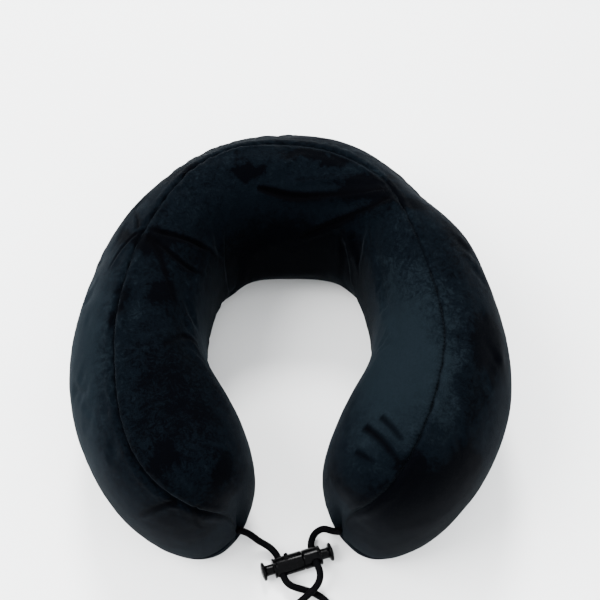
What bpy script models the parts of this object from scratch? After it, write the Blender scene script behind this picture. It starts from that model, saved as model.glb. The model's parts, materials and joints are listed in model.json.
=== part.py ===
"""U shaped memory foam neck pillow with a zipped velour cover and a cord lock.

The pillow lies on its base with its back toward +Y and its open side toward -Y.
Every size is in metres. The cover, liner and foam are lofts of one shared surface.
"""
import functools
import math

import bmesh
import bpy
import numpy as np
from mathutils import Matrix, Vector

# Pillow, seen from above. Stations run from the middle of the back to the end of one arm.
BACK_ARC_CENTRE_Y = 0.031
BACK_ARC_RADIUS = 0.120
BACK_ARC_STEP = math.radians(12.5)
BACK_ARC_STATIONS = 5
NECK_EDGE = (
    (0.0000, 0.0610), (0.0145, 0.0608), (0.0300, 0.0580), (0.0440, 0.0490), (0.0530, 0.0330),
    (0.0577, 0.0100), (0.0590, -0.0120), (0.0540, -0.0370), (0.0400, -0.0620), (0.0290, -0.0860),
    (0.0235, -0.1060), (0.0240, -0.1180), (0.0280, -0.1262), (0.0360, -0.1284),
)
ARM_OUTER_EDGE = (
    (0.1190, 0.0700), (0.1370, 0.0270), (0.1470, -0.0200), (0.1460, -0.0606), (0.1336, -0.0972),
    (0.1112, -0.1300), (0.0842, -0.1500), (0.0568, -0.1526), (0.0360, -0.1352),
)
LAST_STATION = len(NECK_EDGE) - 1

# Pillow, seen from the side.
BACK_HEIGHT = 0.120
ARM_HEIGHT = 0.128
ARM_HEIGHT_STATION = 6.0
WIDEST_LEVEL = 0.46
TOP_ROUNDNESS = 2.3
BASE_ROUNDNESS = 2.6
BASE_SINK = 0.0036
NOSE_STATION = 9.5
NOSE_ROUNDNESS = 2.2
CORD_EXIT_Z = 0.0160
CORD_EXIT_RADIUS = 0.0034

# Layers, from the outside in.
COVER_THICKNESS = 0.0015
LINER_DEPTH = 0.0022
LINER_THICKNESS = 0.0006
FOAM_DEPTH = 0.0034
LINER_LAST_STATION = 11.5
FOAM_LAST_STATION = 11.0
INNER_TIP = (0.0455, -0.1310, 0.0350)
INNER_TIP_SHARES = (0.45, 0.8)
TIP_BLUNTNESS = 0.75
SEAM_GAP = 0.0014
SHORTEST_REACH = 0.4
OUTER_PANEL_STEPS = (5,)
NECK_PANEL_STEPS = (4, 3, 2, 3)
BASE_FLAT_START = math.radians(250)
BASE_FLAT_END = math.radians(290)
# The top seam, as (station, degrees round the section). Negative stations are the left arm.
TOP_SEAM = (
    (-13.0, 66), (-11.0, 60), (-9.8, 61), (-8.7, 69), (-7.2, 78), (-5.3, 80), (-4.0, 77),
    (-2.0, 73), (0.0, 74), (2.0, 77), (3.2, 81), (4.2, 89), (5.4, 95), (7.2, 90), (8.5, 86),
    (10.0, 82), (11.4, 76), (13.0, 70),
)
NOSE_SEAM_DROP = 0.0045
EXIT_SEAM_LEVEL = 0.4

# Zip, on one level arc low on the outside of the back.
ZIP_HEIGHT = 0.0280
ZIP_SLOT_HALF = 0.0055
ZIP_STATION = 3.5
ZIP_ARC = math.radians(42.5)
ZIP_STEPS = 20
ZIP_LEAN = math.radians(13.5)
ZIP_RADIUS = 0.1166
TAPE_INNER_EDGE = 0.0005
TAPE_OUTER_EDGE = 0.0050
TAPE_THICKNESS = 0.0008
COIL_INNER_EDGE = 0.00015
COIL_OUTER_EDGE = 0.0019
COIL_THICKNESS = 0.0013
TOUCH_GAP = 0.0003
STOP_LENGTH = 0.0022
SLIDER_ANGLE = math.radians(38.0)
SLIDER_LENGTH = 0.0090
SLIDER_HALF_WIDTH = 0.0034
SLIDER_WALL = 0.0009
SLIDER_EDGE = 0.0004
BAIL_RADIUS = 0.0005
BAIL_SINK = 0.0004
BAIL_REACH = 0.0017
PULL_HEIGHT = 0.0010
PULL_LENGTH = 0.0180
PULL_HALF_WIDTH = 0.0022
PULL_THICKNESS = 0.0009
PULL_STRIP_HALF = 0.0006
PULL_EYE_LENGTH = 0.0023
PULL_SLOT_LENGTH = 0.0060
PULL_SLOT_WIDTH = 0.0018
PULL_SLOT_FROM_END = 0.0048

# Cord lock. Its own frame has Z along the barrel, Y out of the near cord hole, X through the latch.
LOCK_CENTRE = Vector((0.0055, -0.1505, 0.0070))
LOCK_YAW = math.radians(17)
LOCK_ROLL = math.radians(30)
SOCKET_HOLE_TILT = math.radians(-24)
PLUG_HOLE_TILT = math.radians(2)
BARREL_RADIUS = 0.0067
BARREL_HALF = 0.0168
BARREL_EDGE = 0.0005
RIM_GROOVE = 0.0004
SPLIT_Z = 0.0040
BORE_RADIUS = 0.0039
HOLE_FROM_END = 0.0050
HOLE_RADIUS = 0.0030
SOCKET_BORE_DEPTH = 0.0138
PLUG_BORE_DEPTH = 0.0134
PLUG_BORE_WIDE_DEPTH = 0.0120
PLUG_SPRING_BORE_RADIUS = 0.0026
NOSE_RADIUS = 0.00355
NOSE_LENGTH = 0.0052
NOSE_SOCKET_DEPTH = 0.0058
STEM_RADIUS = 0.0036
STEM_DEPTH = 0.0088
HEAD_RADIUS = 0.0064
HEAD_GAP = 0.0054
HEAD_THICKNESS = 0.0034
HEAD_DOME = 0.0012
BUTTON_TRAVEL = 0.0026
SPRING_RADIUS = 0.0021
SPRING_WIRE_RADIUS = 0.00023
SPRING_TURNS = 4
SPRING_STEPS = 10
LATCH_HALF_WIDTH = 0.0015
LATCH_RAISED = 0.0004
LATCH_PIVOT = (0.0049 + LATCH_RAISED, -0.0018)
POCKET_LOW = 0.0068
POCKET_HIGH = 0.0197
POCKET_LEVEL = 0.00665 + LATCH_RAISED
POCKET_DEPTH = 0.0050
WINDOW_LOW = 0.0172
WINDOW_LEVEL = 0.0060 + LATCH_RAISED
PIN_RADIUS = 0.00045
PIN_HALF_LENGTH = 0.0024
PIN_SIDES = 12
PIN_HOLE_SIDES = 16
TURNED_SIDES = 20
WELD_DISTANCE = 0.00001

# Cords. The points are the routes by hand, from the sewn end to the knot.
CORD_DIAMETER = 0.0049
CORD_POINTS = 58
CORD_HOLE_REACH = 0.0072
KNOT_RADIUS = 0.0060
FLOOR_GAP = 0.0001

# Looks, as (colour, roughness, metallic).
VELOUR_LOOK = ((0.010, 0.014, 0.018), 0.9, 0.0)
LINER_LOOK = ((0.55, 0.55, 0.52), 0.9, 0.0)
FOAM_LOOK = ((0.85, 0.80, 0.62), 0.95, 0.0)
TAPE_LOOK = ((0.012, 0.012, 0.014), 0.85, 0.0)
COIL_LOOK = ((0.02, 0.02, 0.022), 0.45, 0.0)
ZIP_METAL_LOOK = ((0.03, 0.03, 0.035), 0.35, 0.6)
PLASTIC_LOOK = ((0.012, 0.012, 0.014), 0.3, 0.0)
STEEL_LOOK = ((0.6, 0.6, 0.6), 0.25, 1.0)
CORD_LOOK = ((0.008, 0.008, 0.010), 0.8, 0.0)

parts = bpy.data.collections.new("u_shaped_neck_pillow")
cutters = bpy.data.collections.new("cutters")


def clear_scene():
    for obj in list(bpy.data.objects):
        bpy.data.objects.remove(obj)
    bpy.context.scene.collection.children.link(parts)
    bpy.context.scene.collection.children.link(cutters)


def material(name, colour, roughness, metallic):
    made = bpy.data.materials.new(name)
    made.use_nodes = True
    shader = made.node_tree.nodes["Principled BSDF"]
    shader.inputs["Base Color"].default_value = (*colour, 1)
    shader.inputs["Roughness"].default_value = roughness
    shader.inputs["Metallic"].default_value = metallic
    return made


def add_object(name, data, look, parent=None):
    obj = bpy.data.objects.new(name, data)
    parts.objects.link(obj)
    obj.parent = parent
    data.materials.append(material(name, *look))
    return obj


def add_cutter(name, mesh, parent=None):
    obj = bpy.data.objects.new(name, mesh)
    cutters.objects.link(obj)
    obj.parent = parent
    obj.hide_render = True
    obj.display_type = "WIRE"
    return obj


def mesh_from(name, build):
    """A mesh that the function build fills in, with its faces turned outward."""
    shape = bmesh.new()
    build(shape)
    bmesh.ops.recalc_face_normals(shape, faces=shape.faces)
    mesh = bpy.data.meshes.new(name)
    shape.to_mesh(mesh)
    shape.free()
    return mesh


def smooth(mesh, degrees=40):
    mesh.shade_smooth()
    mesh.set_sharp_from_angle(angle=math.radians(degrees))


def solidify(obj, thickness, offset):
    shell = obj.modifiers.new("thickness", "SOLIDIFY")
    shell.thickness = thickness
    shell.offset = offset


def cut(obj, cutter, operation="DIFFERENCE"):
    boolean = obj.modifiers.new(cutter.name, "BOOLEAN")
    boolean.object = cutter
    boolean.operation = operation
    boolean.solver = "EXACT"


def smooth_curve(points, knots, places):
    """Points of a natural cubic curve that passes each point at its knot."""
    points, knots = np.array(points, float), np.array(knots, float)
    gaps = np.diff(knots)
    system = np.eye(len(points))
    bends = np.zeros_like(points)
    for i in range(1, len(points) - 1):
        system[i, i - 1:i + 2] = gaps[i - 1], 2 * (gaps[i - 1] + gaps[i]), gaps[i]
        bends[i] = 6 * ((points[i + 1] - points[i]) / gaps[i] - (points[i] - points[i - 1]) / gaps[i - 1])
    bends = np.linalg.solve(system, bends)
    found = []
    for place in places:
        i = int(np.clip(np.searchsorted(knots, place, side="right") - 1, 0, len(gaps) - 1))
        after = (place - knots[i]) / gaps[i]
        before = 1 - after
        bend = (before ** 3 - before) * bends[i] + (after ** 3 - after) * bends[i + 1]
        found.append(before * points[i] + after * points[i + 1] + bend * gaps[i] ** 2 / 6)
    return np.array(found)


# ---- The pillow's shared surface ----


def outer_edge():
    back = [
        (BACK_ARC_RADIUS * math.sin(step * BACK_ARC_STEP),
         BACK_ARC_CENTRE_Y + BACK_ARC_RADIUS * math.cos(step * BACK_ARC_STEP))
        for step in range(BACK_ARC_STATIONS)
    ]
    return back + list(ARM_OUTER_EDGE)


def both_arms(half):
    """The half outline, mirrored to the other arm and joined at the middle of the back."""
    return [(-x, y) for x, y in reversed(half)][:-1] + list(half)


@functools.lru_cache(maxsize=None)
def edges_at(station):
    """The neck side and outer side of the outline at this station."""
    knots = range(-LAST_STATION, LAST_STATION + 1)
    return [smooth_curve(both_arms(edge), knots, [station])[0]
            for edge in (list(NECK_EDGE), outer_edge())]


def section(station):
    """Centre, half width vector, widest level, top and base of the section at a station from -13 to 13."""
    neck, outer = edges_at(station)
    along = abs(station)
    height = BACK_HEIGHT + (ARM_HEIGHT - BACK_HEIGHT) * min(along / ARM_HEIGHT_STATION, 1)
    nose = max(0.0, (along - NOSE_STATION) / (LAST_STATION - NOSE_STATION))
    fullness = math.sqrt(max(0.0, 1 - nose ** NOSE_ROUNDNESS))
    top = CORD_EXIT_Z + max(CORD_EXIT_RADIUS, (height - CORD_EXIT_Z) * fullness)
    base = CORD_EXIT_Z - max(CORD_EXIT_RADIUS, (CORD_EXIT_Z + BASE_SINK) * fullness)
    widest = base + WIDEST_LEVEL * (top - base)
    if along == LAST_STATION:
        widest = CORD_EXIT_Z
    return (neck + outer) / 2, (outer - neck) / 2, widest, top, base


def surface_point(station, angle):
    """A point of the pillow's outside. Angle 0 is its outer side, 90 degrees its top, 180 the neck side."""
    centre, half, widest, top, base = section(station)
    across, up = math.cos(angle), math.sin(angle)
    roundness = TOP_ROUNDNESS if up >= 0 else BASE_ROUNDNESS
    reach = math.copysign(abs(across) ** (2 / roundness), across)
    lift = abs(up) ** (2 / roundness)
    level = widest + lift * (top - widest) if up >= 0 else widest - lift * (widest - base)
    x, y = centre + half * reach
    return Vector((x, y, max(level, 0.0)))


def surface_normal(station, angle):
    step = 0.02
    ahead = min(station + step, LAST_STATION)
    behind = max(station - step, -LAST_STATION)
    along = surface_point(ahead, angle) - surface_point(behind, angle)
    around = surface_point(station, angle + step) - surface_point(station, angle - step)
    return around.cross(along).normalized()


def inset_point(station, angle, depth):
    """A point this deep under the pillow's surface."""
    place = surface_point(station, angle) - depth * surface_normal(station, angle)
    place.z = max(place.z, depth)
    return place


def angle_at_height(station, level):
    """The angle, on the lower part of the outer side, where the surface has this height."""
    _, _, widest, _, base = section(station)
    drop = min(max((widest - level) / (widest - base), 0.0), 1.0)
    return -math.asin(drop ** (BASE_ROUNDNESS / 2))


@functools.lru_cache(maxsize=None)
def top_seam(station):
    places, degrees = zip(*TOP_SEAM)
    return math.radians(smooth_curve(degrees, places, [station])[0])


def lower_seam(station, side):
    """The edge of the outer panel, side 1, or of the neck panel, side -1, at the lower seam."""
    _, _, _, _, base = section(station)
    level = max(ZIP_HEIGHT - max(0.0, abs(station) - NOSE_STATION) * NOSE_SEAM_DROP, base)
    if abs(station) == LAST_STATION:
        level = CORD_EXIT_Z - EXIT_SEAM_LEVEL * CORD_EXIT_RADIUS
    gap = ZIP_SLOT_HALF if abs(station) <= ZIP_STATION else SEAM_GAP / 2
    return angle_at_height(station, level + side * gap)


def seam_angle_gap(station):
    """Half of the gap between the panels at the top seam, as an angle."""
    _, half, _, top, _ = section(station)
    return SEAM_GAP / 2 / max(np.linalg.norm(half), SHORTEST_REACH * top)


def stations():
    half = [0.5 * step for step in range(1, 9)] + [float(s) for s in range(5, 12)]
    half += [11.5, 12.0, 12.4, 12.7, 12.9, 13.0]
    return [-s for s in reversed(half)] + [0.0] + half


def grid_faces(shape, rows, closed):
    for low, high in zip(rows, rows[1:]):
        count = len(low)
        for j in range(count if closed else count - 1):
            k = (j + 1) % count
            shape.faces.new((low[j], high[j], high[k], low[k]))


def spread(corners, counts):
    """Angles that divide each stretch between two corners into its count of equal steps."""
    angles = [corners[0]]
    for start, end, count in zip(corners, corners[1:], counts):
        angles += [start + (end - start) * (j + 1) / count for j in range(count)]
    return angles


def outer_angles(station):
    return spread((lower_seam(station, 1), top_seam(station) - seam_angle_gap(station)), OUTER_PANEL_STEPS)


def neck_angles(station):
    """Round the top, the neck side and the flat base, to the lower seam."""
    corners = (top_seam(station) + seam_angle_gap(station), math.pi, BASE_FLAT_START, BASE_FLAT_END,
               2 * math.pi + lower_seam(station, -1))
    return spread(corners, NECK_PANEL_STEPS)


def panel_mesh(name, angles):
    def build(shape):
        rows = [[shape.verts.new(surface_point(station, a)) for a in angles(station)]
                for station in stations()]
        grid_faces(shape, rows, closed=False)

    return outward(mesh_from(name, build))


def outward(mesh):
    """Turns an open grid over where its faces point at the pillow's inside."""
    top = max(mesh.polygons, key=lambda face: face.center.z)
    if top.normal.z < 0:
        mesh.flip_normals()
    return mesh


def closed_rows(depth, last):
    """Rings of points round the pillow at this depth, with a blunt taper short of each cord's sewn end."""
    rings = [[inset_point(station, a, depth) for a in outer_angles(station)[:-1] + neck_angles(station)]
             for station in inner_stations(last)]
    ends = []
    for ring, side in ((rings[0], -1), (rings[-1], 1)):
        middle = sum(ring, Vector()) / len(ring)
        tip = Vector((side * (INNER_TIP[0] + 2 * depth), INNER_TIP[1] + depth / 2, INNER_TIP[2]))
        ends.append([[middle.lerp(tip, share) + (1 - share) ** TIP_BLUNTNESS * (place - middle)
                      for place in ring] for share in INNER_TIP_SHARES])
    return ends[0][::-1] + rings + ends[1]


def inner_stations(last):
    return [station for station in stations() if abs(station) <= last]


def foam_mesh():
    rings = closed_rows(FOAM_DEPTH, FOAM_LAST_STATION)

    def build(shape):
        rows = [[shape.verts.new(place) for place in ring] for ring in rings]
        grid_faces(shape, rows, closed=True)
        shape.faces.new(rows[0])
        shape.faces.new(rows[-1])

    return mesh_from("foam_core", build)


def liner_mesh():
    """A bag round the foam, with a slit behind the zip."""
    rings = closed_rows(LINER_DEPTH, LINER_LAST_STATION)
    ends = [LAST_STATION] * len(INNER_TIP_SHARES)
    names = ends + inner_stations(LINER_LAST_STATION) + ends

    def build(shape):
        rows = [[shape.verts.new(place) for place in ring] for ring in rings]
        for i, (low, high) in enumerate(zip(rows, rows[1:])):
            slit = max(abs(names[i]), abs(names[i + 1])) <= ZIP_STATION
            grid_faces(shape, (low, high), closed=not slit)
        shape.faces.new(rows[0])
        shape.faces.new(rows[-1])

    return outward(mesh_from("inner_liner", build))


def make_pillow():
    for name, angles in (("cover_neck_panel", neck_angles), ("cover_outer_panel", outer_angles)):
        panel = add_object(name, panel_mesh(name, angles), VELOUR_LOOK)
        solidify(panel, COVER_THICKNESS, -1)
        smooth(panel.data)
    liner = add_object("inner_liner", liner_mesh(), LINER_LOOK)
    solidify(liner, LINER_THICKNESS, -1)
    smooth(liner.data)
    foam = add_object("foam_core", foam_mesh(), FOAM_LOOK)
    smooth(foam.data)


# ---- Zip ----


def zip_frame(angle, parent_name):
    """An empty on the zip's arc: X along the zip, Y up the leaning wall, Z out of it."""
    out = Vector((math.sin(angle), math.cos(angle), 0))
    along = Vector((math.cos(angle), -math.sin(angle), 0))
    normal = out * math.cos(ZIP_LEAN) + Vector((0, 0, -math.sin(ZIP_LEAN)))
    rise = normal.cross(along)
    empty = bpy.data.objects.new(parent_name, None)
    parts.objects.link(empty)
    turn = Matrix((along, rise, normal)).transposed().to_4x4()
    place = Vector((0, BACK_ARC_CENTRE_Y, ZIP_HEIGHT)) + out * ZIP_RADIUS
    empty.matrix_world = Matrix.Translation(place) @ turn
    return empty


def zip_point(angle, rise, depth):
    """A point beside the zip's middle line: rise up the leaning wall, depth outward from it."""
    radius = ZIP_RADIUS + rise * math.sin(ZIP_LEAN) + depth * math.cos(ZIP_LEAN)
    level = ZIP_HEIGHT + rise * math.cos(ZIP_LEAN) - depth * math.sin(ZIP_LEAN)
    return Vector((radius * math.sin(angle), BACK_ARC_CENTRE_Y + radius * math.cos(angle), level))


def zip_strip(name, low, high, bottom, top, look, arc=ZIP_ARC, steps=ZIP_STEPS, middle=0.0):
    def build(shape):
        rows = []
        for step in range(steps + 1):
            angle = middle - arc + 2 * arc * step / steps
            corners = ((low, bottom), (high, bottom), (high, top), (low, top))
            rows.append([shape.verts.new(zip_point(angle, *corner)) for corner in corners])
        grid_faces(shape, rows, closed=True)
        shape.faces.new(rows[0])
        shape.faces.new(rows[-1])

    return add_object(name, mesh_from(name, build), look)


def make_zip():
    coil_bottom = TAPE_THICKNESS + TOUCH_GAP
    coil_top = coil_bottom + COIL_THICKNESS
    for name, side in (("upper", 1), ("lower", -1)):
        tape = sorted((side * TAPE_INNER_EDGE, side * TAPE_OUTER_EDGE))
        coil = sorted((side * COIL_INNER_EDGE, side * COIL_OUTER_EDGE))
        zip_strip(f"zipper_tape_{name}", *tape, 0.0, TAPE_THICKNESS, TAPE_LOOK)
        stop_arc = STOP_LENGTH / ZIP_RADIUS
        coil_arc = ZIP_ARC - 2 * stop_arc - TOUCH_GAP / ZIP_RADIUS
        zip_strip(f"zipper_coil_{name}", *coil, coil_bottom, coil_top, COIL_LOOK, arc=coil_arc)
    for name, side in (("start", 1), ("end", -1)):
        zip_strip(f"zipper_stop_{name}", -COIL_OUTER_EDGE, COIL_OUTER_EDGE, coil_bottom, coil_top,
                  ZIP_METAL_LOOK, arc=stop_arc / 2, steps=1, middle=side * (ZIP_ARC - stop_arc))
    make_slider(coil_top)


def box_mesh(name, size, centre=(0, 0, 0)):
    def build(shape):
        bmesh.ops.create_cube(shape, size=1)
        bmesh.ops.scale(shape, vec=size, verts=shape.verts)
        bmesh.ops.translate(shape, vec=centre, verts=shape.verts)

    return mesh_from(name, build)


def cylinder_mesh(name, radius, length, sides, centre=(0, 0, 0)):
    """A cylinder along Y."""
    def build(shape):
        bmesh.ops.create_cone(shape, cap_ends=True, segments=sides, radius1=radius, radius2=radius,
                              depth=length)
        bmesh.ops.rotate(shape, matrix=Matrix.Rotation(math.pi / 2, 3, "X"), verts=shape.verts)
        bmesh.ops.translate(shape, vec=centre, verts=shape.verts)

    return mesh_from(name, build)


def make_slider(coil_top):
    """A plate over the coils with two side walls and a bail, and the pull that hangs on the bail."""
    frame = zip_frame(SLIDER_ANGLE, "zipper_slider_axis")
    roof_low = coil_top + TOUCH_GAP
    roof = roof_low + SLIDER_WALL
    wall_low = TAPE_THICKNESS + TOUCH_GAP
    width = 2 * SLIDER_HALF_WIDTH
    slider = add_object(
        "zipper_slider",
        box_mesh("zipper_slider", (SLIDER_LENGTH, width, roof - wall_low),
                 (0, 0, (roof + wall_low) / 2)),
        ZIP_METAL_LOOK, frame)
    rounded = slider.modifiers.new("rounded", "BEVEL")
    rounded.width = SLIDER_EDGE
    rounded.segments = 1
    channel = box_mesh("slider_channel", (2 * SLIDER_LENGTH, width - 2 * SLIDER_WALL, 2 * roof_low))
    cut(slider, add_cutter("slider_channel", channel, frame))
    cut(slider, add_cutter("slider_bail", bail_mesh(roof), frame), "UNION")
    pull_frame = bpy.data.objects.new("zipper_pull_axis", None)
    parts.objects.link(pull_frame)
    pull_frame.parent = frame
    pull_frame.location = (0, 0, roof + PULL_HEIGHT)
    pull = add_object("zipper_pull", box_mesh(
        "zipper_pull", (PULL_LENGTH, 2 * PULL_HALF_WIDTH, PULL_THICKNESS),
        (PULL_STRIP_HALF - PULL_LENGTH / 2, 0, 0)), ZIP_METAL_LOOK, pull_frame)
    windows = (("pull_eye", PULL_EYE_LENGTH, -PULL_STRIP_HALF - PULL_EYE_LENGTH / 2),
               ("pull_grip_slot", PULL_SLOT_LENGTH, PULL_STRIP_HALF - PULL_LENGTH + PULL_SLOT_FROM_END))
    for name, length, middle in windows:
        window = box_mesh(name, (length, PULL_SLOT_WIDTH, 4 * PULL_THICKNESS), (middle, 0, 0))
        cut(pull, add_cutter(name, window, pull_frame))


def bail_mesh(roof):
    """A half ring along the zip, over the pull's end strip, with its feet in the slider's plate."""
    arch = bpy.data.curves.new("slider_bail", "CURVE")
    arch.dimensions = "3D"
    line = arch.splines.new("POLY")
    turns = [math.radians(180 - 30 * step) for step in range(7)]
    places = [(BAIL_REACH * math.cos(a), roof + PULL_HEIGHT + BAIL_REACH * math.sin(a)) for a in turns]
    places = [(-BAIL_REACH, roof - BAIL_SINK)] + places + [(BAIL_REACH, roof - BAIL_SINK)]
    line.points.add(len(places) - 1)
    for point, (x, z) in zip(line.points, places):
        point.co = (x, 0, z, 1)
    arch.bevel_depth = BAIL_RADIUS
    arch.bevel_resolution = 1
    arch.use_fill_caps = True
    return curve_to_mesh("slider_bail", arch)


def curve_to_mesh(name, curve):
    """The curve's welded mesh. The curve itself is removed."""
    source = bpy.data.objects.new(name + "_curve", curve)
    cutters.objects.link(source)
    graph = bpy.context.evaluated_depsgraph_get()
    mesh = bpy.data.meshes.new_from_object(source.evaluated_get(graph))
    bpy.data.objects.remove(source)
    shape = bmesh.new()
    shape.from_mesh(mesh)
    bmesh.ops.remove_doubles(shape, verts=shape.verts, dist=WELD_DISTANCE)
    bmesh.ops.recalc_face_normals(shape, faces=shape.faces)
    shape.to_mesh(mesh)
    shape.free()
    mesh.name = name
    return mesh


# ---- Cord lock ----


def lock_frame():
    along = Vector((math.cos(LOCK_YAW), math.sin(LOCK_YAW), 0))
    near = Vector((math.sin(LOCK_YAW) * math.cos(LOCK_ROLL), -math.cos(LOCK_YAW) * math.cos(LOCK_ROLL),
                   math.sin(LOCK_ROLL)))
    latch = near.cross(along)
    turn = Matrix((latch, near, along)).transposed().to_4x4()
    return Matrix.Translation(LOCK_CENTRE) @ turn


def turned(name, profile, frame):
    """A solid turned about Z. The profile's (radius, height) points run down the outer side."""
    mesh = bpy.data.meshes.new(name)
    mesh.from_pydata([(r, 0, z) for r, z in profile],
                     [(i, i + 1) for i in range(len(profile) - 1)], [])
    obj = add_object(name, mesh, PLASTIC_LOOK, frame)
    screw = obj.modifiers.new("turned", "SCREW")
    screw.axis = "Z"
    screw.steps = TURNED_SIDES
    screw.render_steps = TURNED_SIDES
    screw.use_merge_vertices = True
    screw.merge_threshold = WELD_DISTANCE
    screw.use_smooth_shade = True
    return obj


def make_lock():
    frame = bpy.data.objects.new("lock_axis", None)
    parts.objects.link(frame)
    frame.matrix_world = lock_frame()
    hole_z = BARREL_HALF - HOLE_FROM_END
    socket = turned("lock_socket_body", socket_profile(), frame)
    plug = turned("lock_plug_body", plug_profile(), frame)
    for obj, side, tilt in ((socket, -1, SOCKET_HOLE_TILT), (plug, 1, PLUG_HOLE_TILT)):
        hole = cylinder_mesh(f"{obj.name}_cord_hole", HOLE_RADIUS, 4 * BARREL_RADIUS, TURNED_SIDES)
        cutter = add_cutter(f"{obj.name}_cord_hole", hole, frame)
        cutter.location.z = side * hole_z
        cutter.rotation_euler.z = -tilt
        cut(obj, cutter)
    cut_latch_pocket(socket, frame)
    make_latch(frame)
    for name, side, tilt in (("left", -1, SOCKET_HOLE_TILT), ("right", 1, PLUG_HOLE_TILT)):
        make_button(name, side, tilt, frame)
        make_spring(name, side, frame)


def socket_profile():
    """From the open socket end down to the button's end, and back up through the bores."""
    top, bottom, edge = SPLIT_Z - TOUCH_GAP / 2, -BARREL_HALF, BARREL_EDGE
    wall_low = bottom + SOCKET_BORE_DEPTH
    wall_high = top - NOSE_SOCKET_DEPTH
    groove = BARREL_RADIUS - RIM_GROOVE
    return [
        (BORE_RADIUS, top), (BARREL_RADIUS - edge, top), (BARREL_RADIUS, top - edge),
        (BARREL_RADIUS, bottom + 0.0022), (groove, bottom + 0.0019), (groove, bottom + 0.0014),
        (BARREL_RADIUS, bottom + 0.0011), (BARREL_RADIUS, bottom + edge),
        (BARREL_RADIUS - edge, bottom), (BORE_RADIUS, bottom), (BORE_RADIUS, wall_low),
        (0, wall_low), (0, wall_high), (BORE_RADIUS, wall_high), (BORE_RADIUS, top),
    ]


def plug_profile():
    top, bottom, edge = BARREL_HALF, SPLIT_Z + TOUCH_GAP / 2, BARREL_EDGE
    nose_end = bottom - NOSE_LENGTH
    groove = BARREL_RADIUS - RIM_GROOVE
    return [
        (BORE_RADIUS, top), (BARREL_RADIUS - edge, top), (BARREL_RADIUS, top - edge),
        (BARREL_RADIUS, top - 0.0011), (groove, top - 0.0014), (groove, top - 0.0019),
        (BARREL_RADIUS, top - 0.0022), (BARREL_RADIUS, bottom + edge),
        (BARREL_RADIUS - edge, bottom), (NOSE_RADIUS, bottom), (NOSE_RADIUS, nose_end + 0.0036),
        (NOSE_RADIUS - 0.0005, nose_end + 0.0032), (NOSE_RADIUS - 0.0005, nose_end + 0.0018),
        (NOSE_RADIUS, nose_end + 0.0014), (NOSE_RADIUS, nose_end + 0.0006),
        (NOSE_RADIUS - 0.0006, nose_end), (0, nose_end), (0, top - PLUG_BORE_DEPTH),
        (PLUG_SPRING_BORE_RADIUS, top - PLUG_BORE_DEPTH),
        (PLUG_SPRING_BORE_RADIUS, top - PLUG_BORE_WIDE_DEPTH),
        (BORE_RADIUS, top - PLUG_BORE_WIDE_DEPTH), (BORE_RADIUS, top),
    ]


def cut_latch_pocket(socket, frame):
    pocket_half = LATCH_HALF_WIDTH + TOUCH_GAP
    high = POCKET_HIGH - BARREL_HALF
    steps = (("latch_pocket", POCKET_LOW, POCKET_LEVEL), ("latch_window", WINDOW_LOW, WINDOW_LEVEL))
    for name, from_end, level in steps:
        low = from_end - BARREL_HALF
        pocket = box_mesh(name, (POCKET_DEPTH, 2 * pocket_half, high - low), (level, 0, (low + high) / 2))
        cut(socket, add_cutter(name, pocket, frame))
    pin_hole = cylinder_mesh("latch_pin_hole", PIN_RADIUS + TOUCH_GAP, 2 * (PIN_HALF_LENGTH + TOUCH_GAP),
                             PIN_HOLE_SIDES, (LATCH_PIVOT[0], 0, LATCH_PIVOT[1]))
    cut(socket, add_cutter("latch_pin_hole", pin_hole, frame))


def latch_outline():
    """The latch from the side, as (height over the barrel's middle, place along it)."""
    pivot_x, pivot_z = LATCH_PIVOT
    tail, lug_low, lug_high, hook = -0.0095, -0.0085, -0.0052, 0.0012
    notch = PIN_RADIUS + TOUCH_GAP
    arc = [
        (pivot_x + notch * math.sin(a), pivot_z + notch * math.cos(a))
        for a in (math.radians(180 - 22.5 * step) for step in range(9))
    ]
    tongue = [
        (0.0054, tail), (0.0061, tail), (0.0063, lug_low), (0.0088, lug_low + 0.0003),
        (0.0092, lug_low + 0.0008), (0.0092, lug_high - 0.0008), (0.0088, lug_high - 0.0003),
        (0.0063, lug_high), (0.0062, 0.0), (0.0060, hook + 0.0012), (0.0036, hook + 0.0012),
        (0.0035, hook + 0.0002), (0.0048, hook - 0.0002),
    ]
    return [(x + LATCH_RAISED, z) for x, z in tongue] + [
        (pivot_x, pivot_z + notch + 0.0004), *reversed(arc), (pivot_x, pivot_z - notch - 0.0004),
    ]


def make_latch(frame):
    axis = bpy.data.objects.new("latch_axis", None)
    parts.objects.link(axis)
    axis.parent = frame
    axis.location = (LATCH_PIVOT[0], 0, LATCH_PIVOT[1])

    def build(shape):
        corners = [shape.verts.new((x - LATCH_PIVOT[0], 0, z - LATCH_PIVOT[1]))
                   for x, z in latch_outline()]
        shape.faces.new(corners)

    latch = add_object("release_latch", mesh_from("release_latch", build), PLASTIC_LOOK, axis)
    solidify(latch, 2 * LATCH_HALF_WIDTH, 0)
    pin = cylinder_mesh("latch_pivot_pin", PIN_RADIUS, 2 * PIN_HALF_LENGTH, PIN_SIDES)
    add_object("latch_pivot_pin", pin, STEEL_LOOK, axis)


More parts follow.
